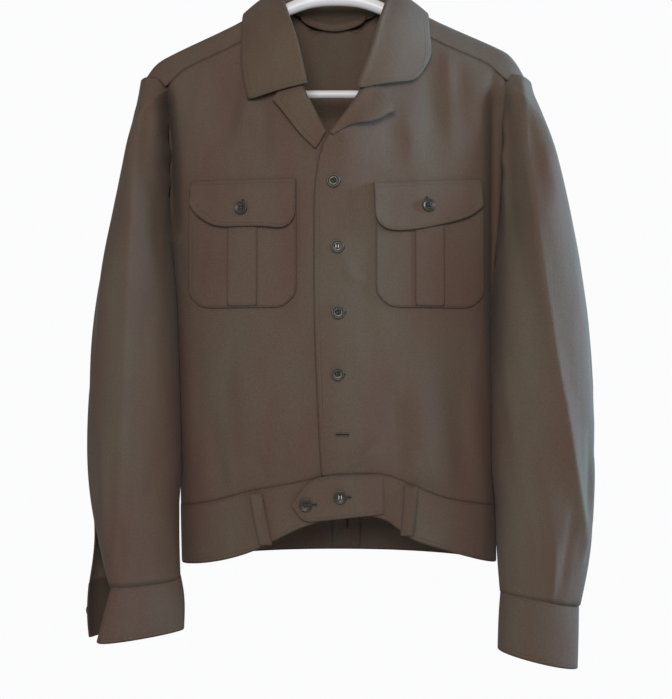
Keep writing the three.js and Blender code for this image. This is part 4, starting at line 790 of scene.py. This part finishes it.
def face_of(*pieces):
    """The joined faces of some pieces, to be met by a ray from the front or the back."""
    corners, faces = [], []
    for piece in pieces:
        first = len(corners)
        corners += [tuple(v.co) for v in piece.data.vertices]
        faces += [[first + i for i in f.vertices] for f in piece.data.polygons]
    return BVHTree.FromPolygons(corners, faces)


def on_face(tree, x, z, behind=False):
    """Where x, z in mm meets the outermost face, and which way that face looks."""
    start = Vector((x / 1000, 0.5 if behind else -0.5, z / 1000))
    return tree.ray_cast(start, Vector((0, -1 if behind else 1, 0)))[:2]


def inset(route, by):
    """A route moved sideways by some millimetres, to its right hand, with its corners kept."""
    moved = []
    for i, (x, z) in enumerate(route):
        before = Vector(route[i]) - Vector(route[i - 1]) if i > 0 else None
        after = Vector(route[i + 1]) - Vector(route[i]) if i < len(route) - 1 else None
        sides = [Vector((d.y, -d.x)).normalized() for d in (before, after) if d is not None]
        side = sum(sides, Vector((0, 0))) / len(sides)
        side /= max(side.length_squared, 0.35)
        moved.append((x + side.x * by, z + side.y * by))
    return moved


def laid_on(pattern, name, where, normal, along, size=1.0):
    """A copy of a small pattern on the cloth, its X axis along the row and its Z axis outwards."""
    normal = normal.normalized()
    across = normal.cross(along).normalized()
    turn = Matrix((across.cross(normal), across, normal)).transposed().to_4x4()
    mesh = pattern.data.copy()
    mesh.transform(Matrix.Translation(where) @ turn @ Matrix.Scale(size, 4))
    copy = bpy.data.objects.new(name, mesh)
    bpy.context.collection.objects.link(copy)
    return copy


def joined(name, copies):
    """Some copies made one piece."""
    bpy.ops.object.select_all(action="DESELECT")
    for copy in copies:
        copy.select_set(True)
    bpy.context.view_layer.objects.active = copies[0]
    bpy.ops.object.join()
    copies[0].name = name
    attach(copies[0], "root")
    return copies[0]


def sew(name, tree, routes, behind=False, pitch=3.3):
    """Rows of stitches along routes of x, z points in mm, joined to one piece."""
    copies = []
    for route in routes:
        points = [Vector(p) for p in route]
        ends = np.cumsum([0] + [(b - a).length for a, b in zip(points, points[1:])])
        xs, zs = [p.x for p in points], [p.y for p in points]
        for at in np.arange(pitch / 2, ends[-1], pitch):
            x, z = np.interp(at, ends, xs), np.interp(at, ends, zs)
            ahead = np.interp(at + 0.6, ends, xs), np.interp(at + 0.6, ends, zs)
            where, normal = on_face(tree, x, z, behind)
            then, _ = on_face(tree, *ahead, behind)
            if where is None or then is None or (then - where).length > 0.004:
                continue
            if (then - where).length < 1e-6:
                continue
            copies.append(laid_on(stitch, name, where, normal, then - where))
    return joined(name, copies)


# edges are traced as x and z in mm, and each row runs inside its edge by what inset is given
COLLAR_LEFT_EDGE = [(-42, -203), (-105, -218), (-111, -190), (-113.5, -165), (-114, -137), (-113.5, -112)]
COLLAR_RIGHT_EDGE = [(31, -206), (70, -200), (94, -194), (108, -180), (113.5, -160), (113, -132), (112, -112)]
collar_face = face_of(collar)
sew("stitches_collar", collar_face, [inset(COLLAR_LEFT_EDGE, 5.5), inset(COLLAR_RIGHT_EDGE, -5.5)])
COLLAR_BACK_EDGE = [(-98, -104), (-60, -122), (0, -130), (60, -122), (98, -104)]
sew("stitches_collar_back", collar_face, [COLLAR_BACK_EDGE], behind=True)

LAPEL_LEFT_EDGE = [(-52, -205), (-62, -208), (-73, -219.5), (-58, -238), (-42, -260), (-26, -277)]
LAPEL_RIGHT_EDGE = [(40, -208), (49.5, -208), (63.5, -232.5), (54, -242), (42, -249), (28, -251), (14, -253)]
sew("stitches_lapel_left", face_of(lapels["left"]), [inset(LAPEL_LEFT_EDGE, -5)[1:]])
sew("stitches_lapel_right", face_of(lapels["right"]), [inset(LAPEL_RIGHT_EDGE, 5)[1:]])

FLAPS = {
    "left": [
        (-172, -313), (-171, -342), (-163, -354), (-140, -369), (-109, -370.5), (-84, -371),
        (-64, -373.5), (-53, -370), (-46.5, -358), (-46, -313.5),
    ],
    "right": [
        (43, -319.5), (44.5, -361), (51, -372), (62, -376), (88, -375), (112, -370), (136, -364),
        (157, -356), (172, -343), (172, -310),
    ],
}
BAGS = {
    "left": [(-175, -360), (-175, -450), (-159, -466), (-62, -466), (-46, -450), (-46, -372)],
    "right": [(46, -378), (46, -450), (62, -466), (160, -466), (176, -450), (176, -346)],
}
for side in ("left", "right"):
    outline = FLAPS[side]
    top = [(outline[0][0] + 1, outline[0][1] - 5.5), (outline[-1][0] - 1, outline[-1][1] - 5.5)]
    flap_face = face_of(pockets["pocket_flap", side])
    sew(f"stitches_flap_{side}", flap_face, [top, inset(outline, -4.5)[1:-1]])
    sew(f"stitches_pocket_{side}", face_of(pockets["pocket", side]), [inset(BAGS[side], -2.5)])

RIGHT_EDGE = [(-25.7, -302), (-25.7, -458), (-22.7, -551), (-19.3, -625), (-17.3, -656)]
LEFT_SEAM = [(-204, -197), (-190, -187), (-176, -178), (-150, -163), (-120, -149), (-96, -139)]
RIGHT_SEAM = [(96, -135), (120, -144), (150, -157), (176, -171), (190, -180), (204, -190)]
sew("stitches_front_edge", face_of(fronts["right"]), [inset(RIGHT_EDGE, -6)])
sew("stitches_shoulders", face_of(back), [inset(LEFT_SEAM, -3), inset(RIGHT_SEAM, -3)])

WAIST_SEAM = [(-190, -705), (-143, -694), (-101, -681), (-70, -675), (-54, -672)]
WAIST_SEAM_RIGHT = [(57, -662), (84, -672), (125, -689), (190, -705)]
HEM_LEFT = [(-190, -775), (-143, -766), (-101, -753), (-70, -737), (-36, -720)]
HEM_RIGHT = [(52, -708), (84, -735), (125, -750), (190, -775)]
band_face = face_of(bands["waistband_left"], bands["waistband_right"])
sew("stitches_band_front", band_face, [
    inset(WAIST_SEAM, 3), inset(WAIST_SEAM_RIGHT, 3), inset(HEM_LEFT, -4), inset(HEM_RIGHT, -4),
])
sew("stitches_band_back", face_of(bands["waistband_back"]), [
    [(-190, -710), (-90, -706), (0, -704), (90, -706), (190, -710)],
    [(-190, -771), (-90, -768), (0, -766), (90, -768), (190, -771)],
], behind=True)
TAB_EDGE = [
    (52, -661), (-16, -662), (-30, -667), (-51, -694), (-51, -699), (-36, -716), (-24, -715), (52, -707),
]
sew("stitches_waist_tab", face_of(small["waist_tab"]), [inset(TAB_EDGE, -4)])

CUFF_ROWS = {
    "left": [[(-191, -790), (-257, -794.5)], [(-187, -843), (-271, -850)]],
    "right": [[(201, -805.5), (283, -819)], [(198, -866), (280, -886)]],
}
for side in ("left", "right"):
    cuff_face = face_of(cuffs[side])
    sew(f"stitches_cuff_{side}", cuff_face, CUFF_ROWS[side])
    sew(f"stitches_cuff_{side}_back", cuff_face, CUFF_ROWS[side], behind=True)
bpy.data.objects.remove(stitch)


# Buttonholes: a slit whose edges are whipped with close thread, 17 mm long. The lowest one of
# the front is empty, and the trouser tab has one upright.

# the slit shows as unlit, quite matt cloth
slit_black = bpy.data.materials.new("shadow_of_the_slit")
slit_black.use_nodes = True
slit_black.node_tree.nodes["Principled BSDF"].inputs["Base Color"].default_value = linear("#15120f")
slit_black.node_tree.nodes["Principled BSDF"].inputs["Roughness"].default_value = 1.0
bpy.ops.object.select_all(action="DESELECT")
bpy.ops.mesh.primitive_torus_add(
    major_segments=36, minor_segments=6, major_radius=0.0021, minor_radius=0.0006
)
whipped = bpy.context.object
whipped.data.materials.append(thread)
# a ring of thread pulled out to 17 mm, with the slit laid inside it
stretch = points_of(whipped)
stretch[:, 0] += np.sign(stretch[:, 0]) * 0.0058
set_points(whipped, stretch)
bpy.ops.mesh.primitive_cube_add(size=1)
slit = bpy.context.object
slit.data.transform(Matrix.Diagonal((0.0145, 0.0014, 0.0005, 1)))
slit.data.materials.append(slit_black)
whipped.select_set(True)
bpy.context.view_layer.objects.active = whipped
bpy.ops.object.join()
buttonhole = whipped
buttonhole.data.shade_smooth()

# each hole: the piece it is cut in, x, z, and 1 where it is upright
right_face = face_of(fronts["right"])
HOLES = [
    (right_face, -1.4, -318, 0), (right_face, 2.7, -395, 0), (right_face, 3.8, -472, 0),
    (right_face, 3.3, -543.5, 0), (right_face, 7.6, -613.6, 0),
    (face_of(small["waist_tab"]), 10.2, -686.5, 0), (face_of(small["waist_tab"]), -30, -695.5, 0),
    (face_of(pockets["pocket_flap", "left"]), -109.8, -345.5, 1),
    (face_of(pockets["pocket_flap", "right"]), 107.2, -342.5, 1),
]
for i, (tree, x, z, upright) in enumerate(HOLES):
    where, normal = on_face(tree, x, z)
    along = Vector((0, 0, 1) if upright else (1, 0, 0))
    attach(laid_on(buttonhole, f"buttonhole_{i + 1}", where, normal, along), "root")
inside_face = face_of(small["trouser_tab"])
where, normal = on_face(inside_face, 14.7, -737)
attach(laid_on(buttonhole, "buttonhole_trousers", where, normal, Vector((0, 0, 1)), 0.85), "root")
bpy.data.objects.remove(buttonhole)


# Button thread: two bars of doubled thread across the four holes, with a painted highlight on the second
# button and the waist button, where the thread is painted paler as if the light catches it.
bpy.ops.object.select_all(action="DESELECT")
bpy.ops.mesh.primitive_uv_sphere_add(segments=12, ring_count=8, radius=0.001)
bar = bpy.context.object
bar.data.transform(Matrix.Diagonal((2.6, 0.55, 0.5, 1)))
bar.data.materials.append(thread)
bar.data.shade_smooth()
# painted highlight: a paler copy of the thread
glint_thread = thread.copy()
glint_thread.name = "painted_glint_thread"
glint_tone = glint_thread.node_tree.nodes["Mix"]
glint_tone.inputs[6].default_value = linear("#b9b2a4")
glint_tone.inputs[7].default_value = linear("#e6e2d8")
for node in button_nodes:
    middle, axis = at_node(node)
    across = axis.cross(Vector((0, 0, 1))).normalized()
    up = across.cross(axis)
    # the bars lie in the button's dish, 3 mm apart
    sunk = middle + axis * 0.0009
    bars = [laid_on(bar, "bar", sunk + across * offset, axis, up) for offset in (-0.0015, 0.0015)]
    sewn = joined(f"thread_{node}", bars)
    # painted highlight on the thread of these two buttons
    if node in ("button_front_2", "button_waist"):
        sewn.data.materials[0] = glint_thread
bpy.data.objects.remove(bar)
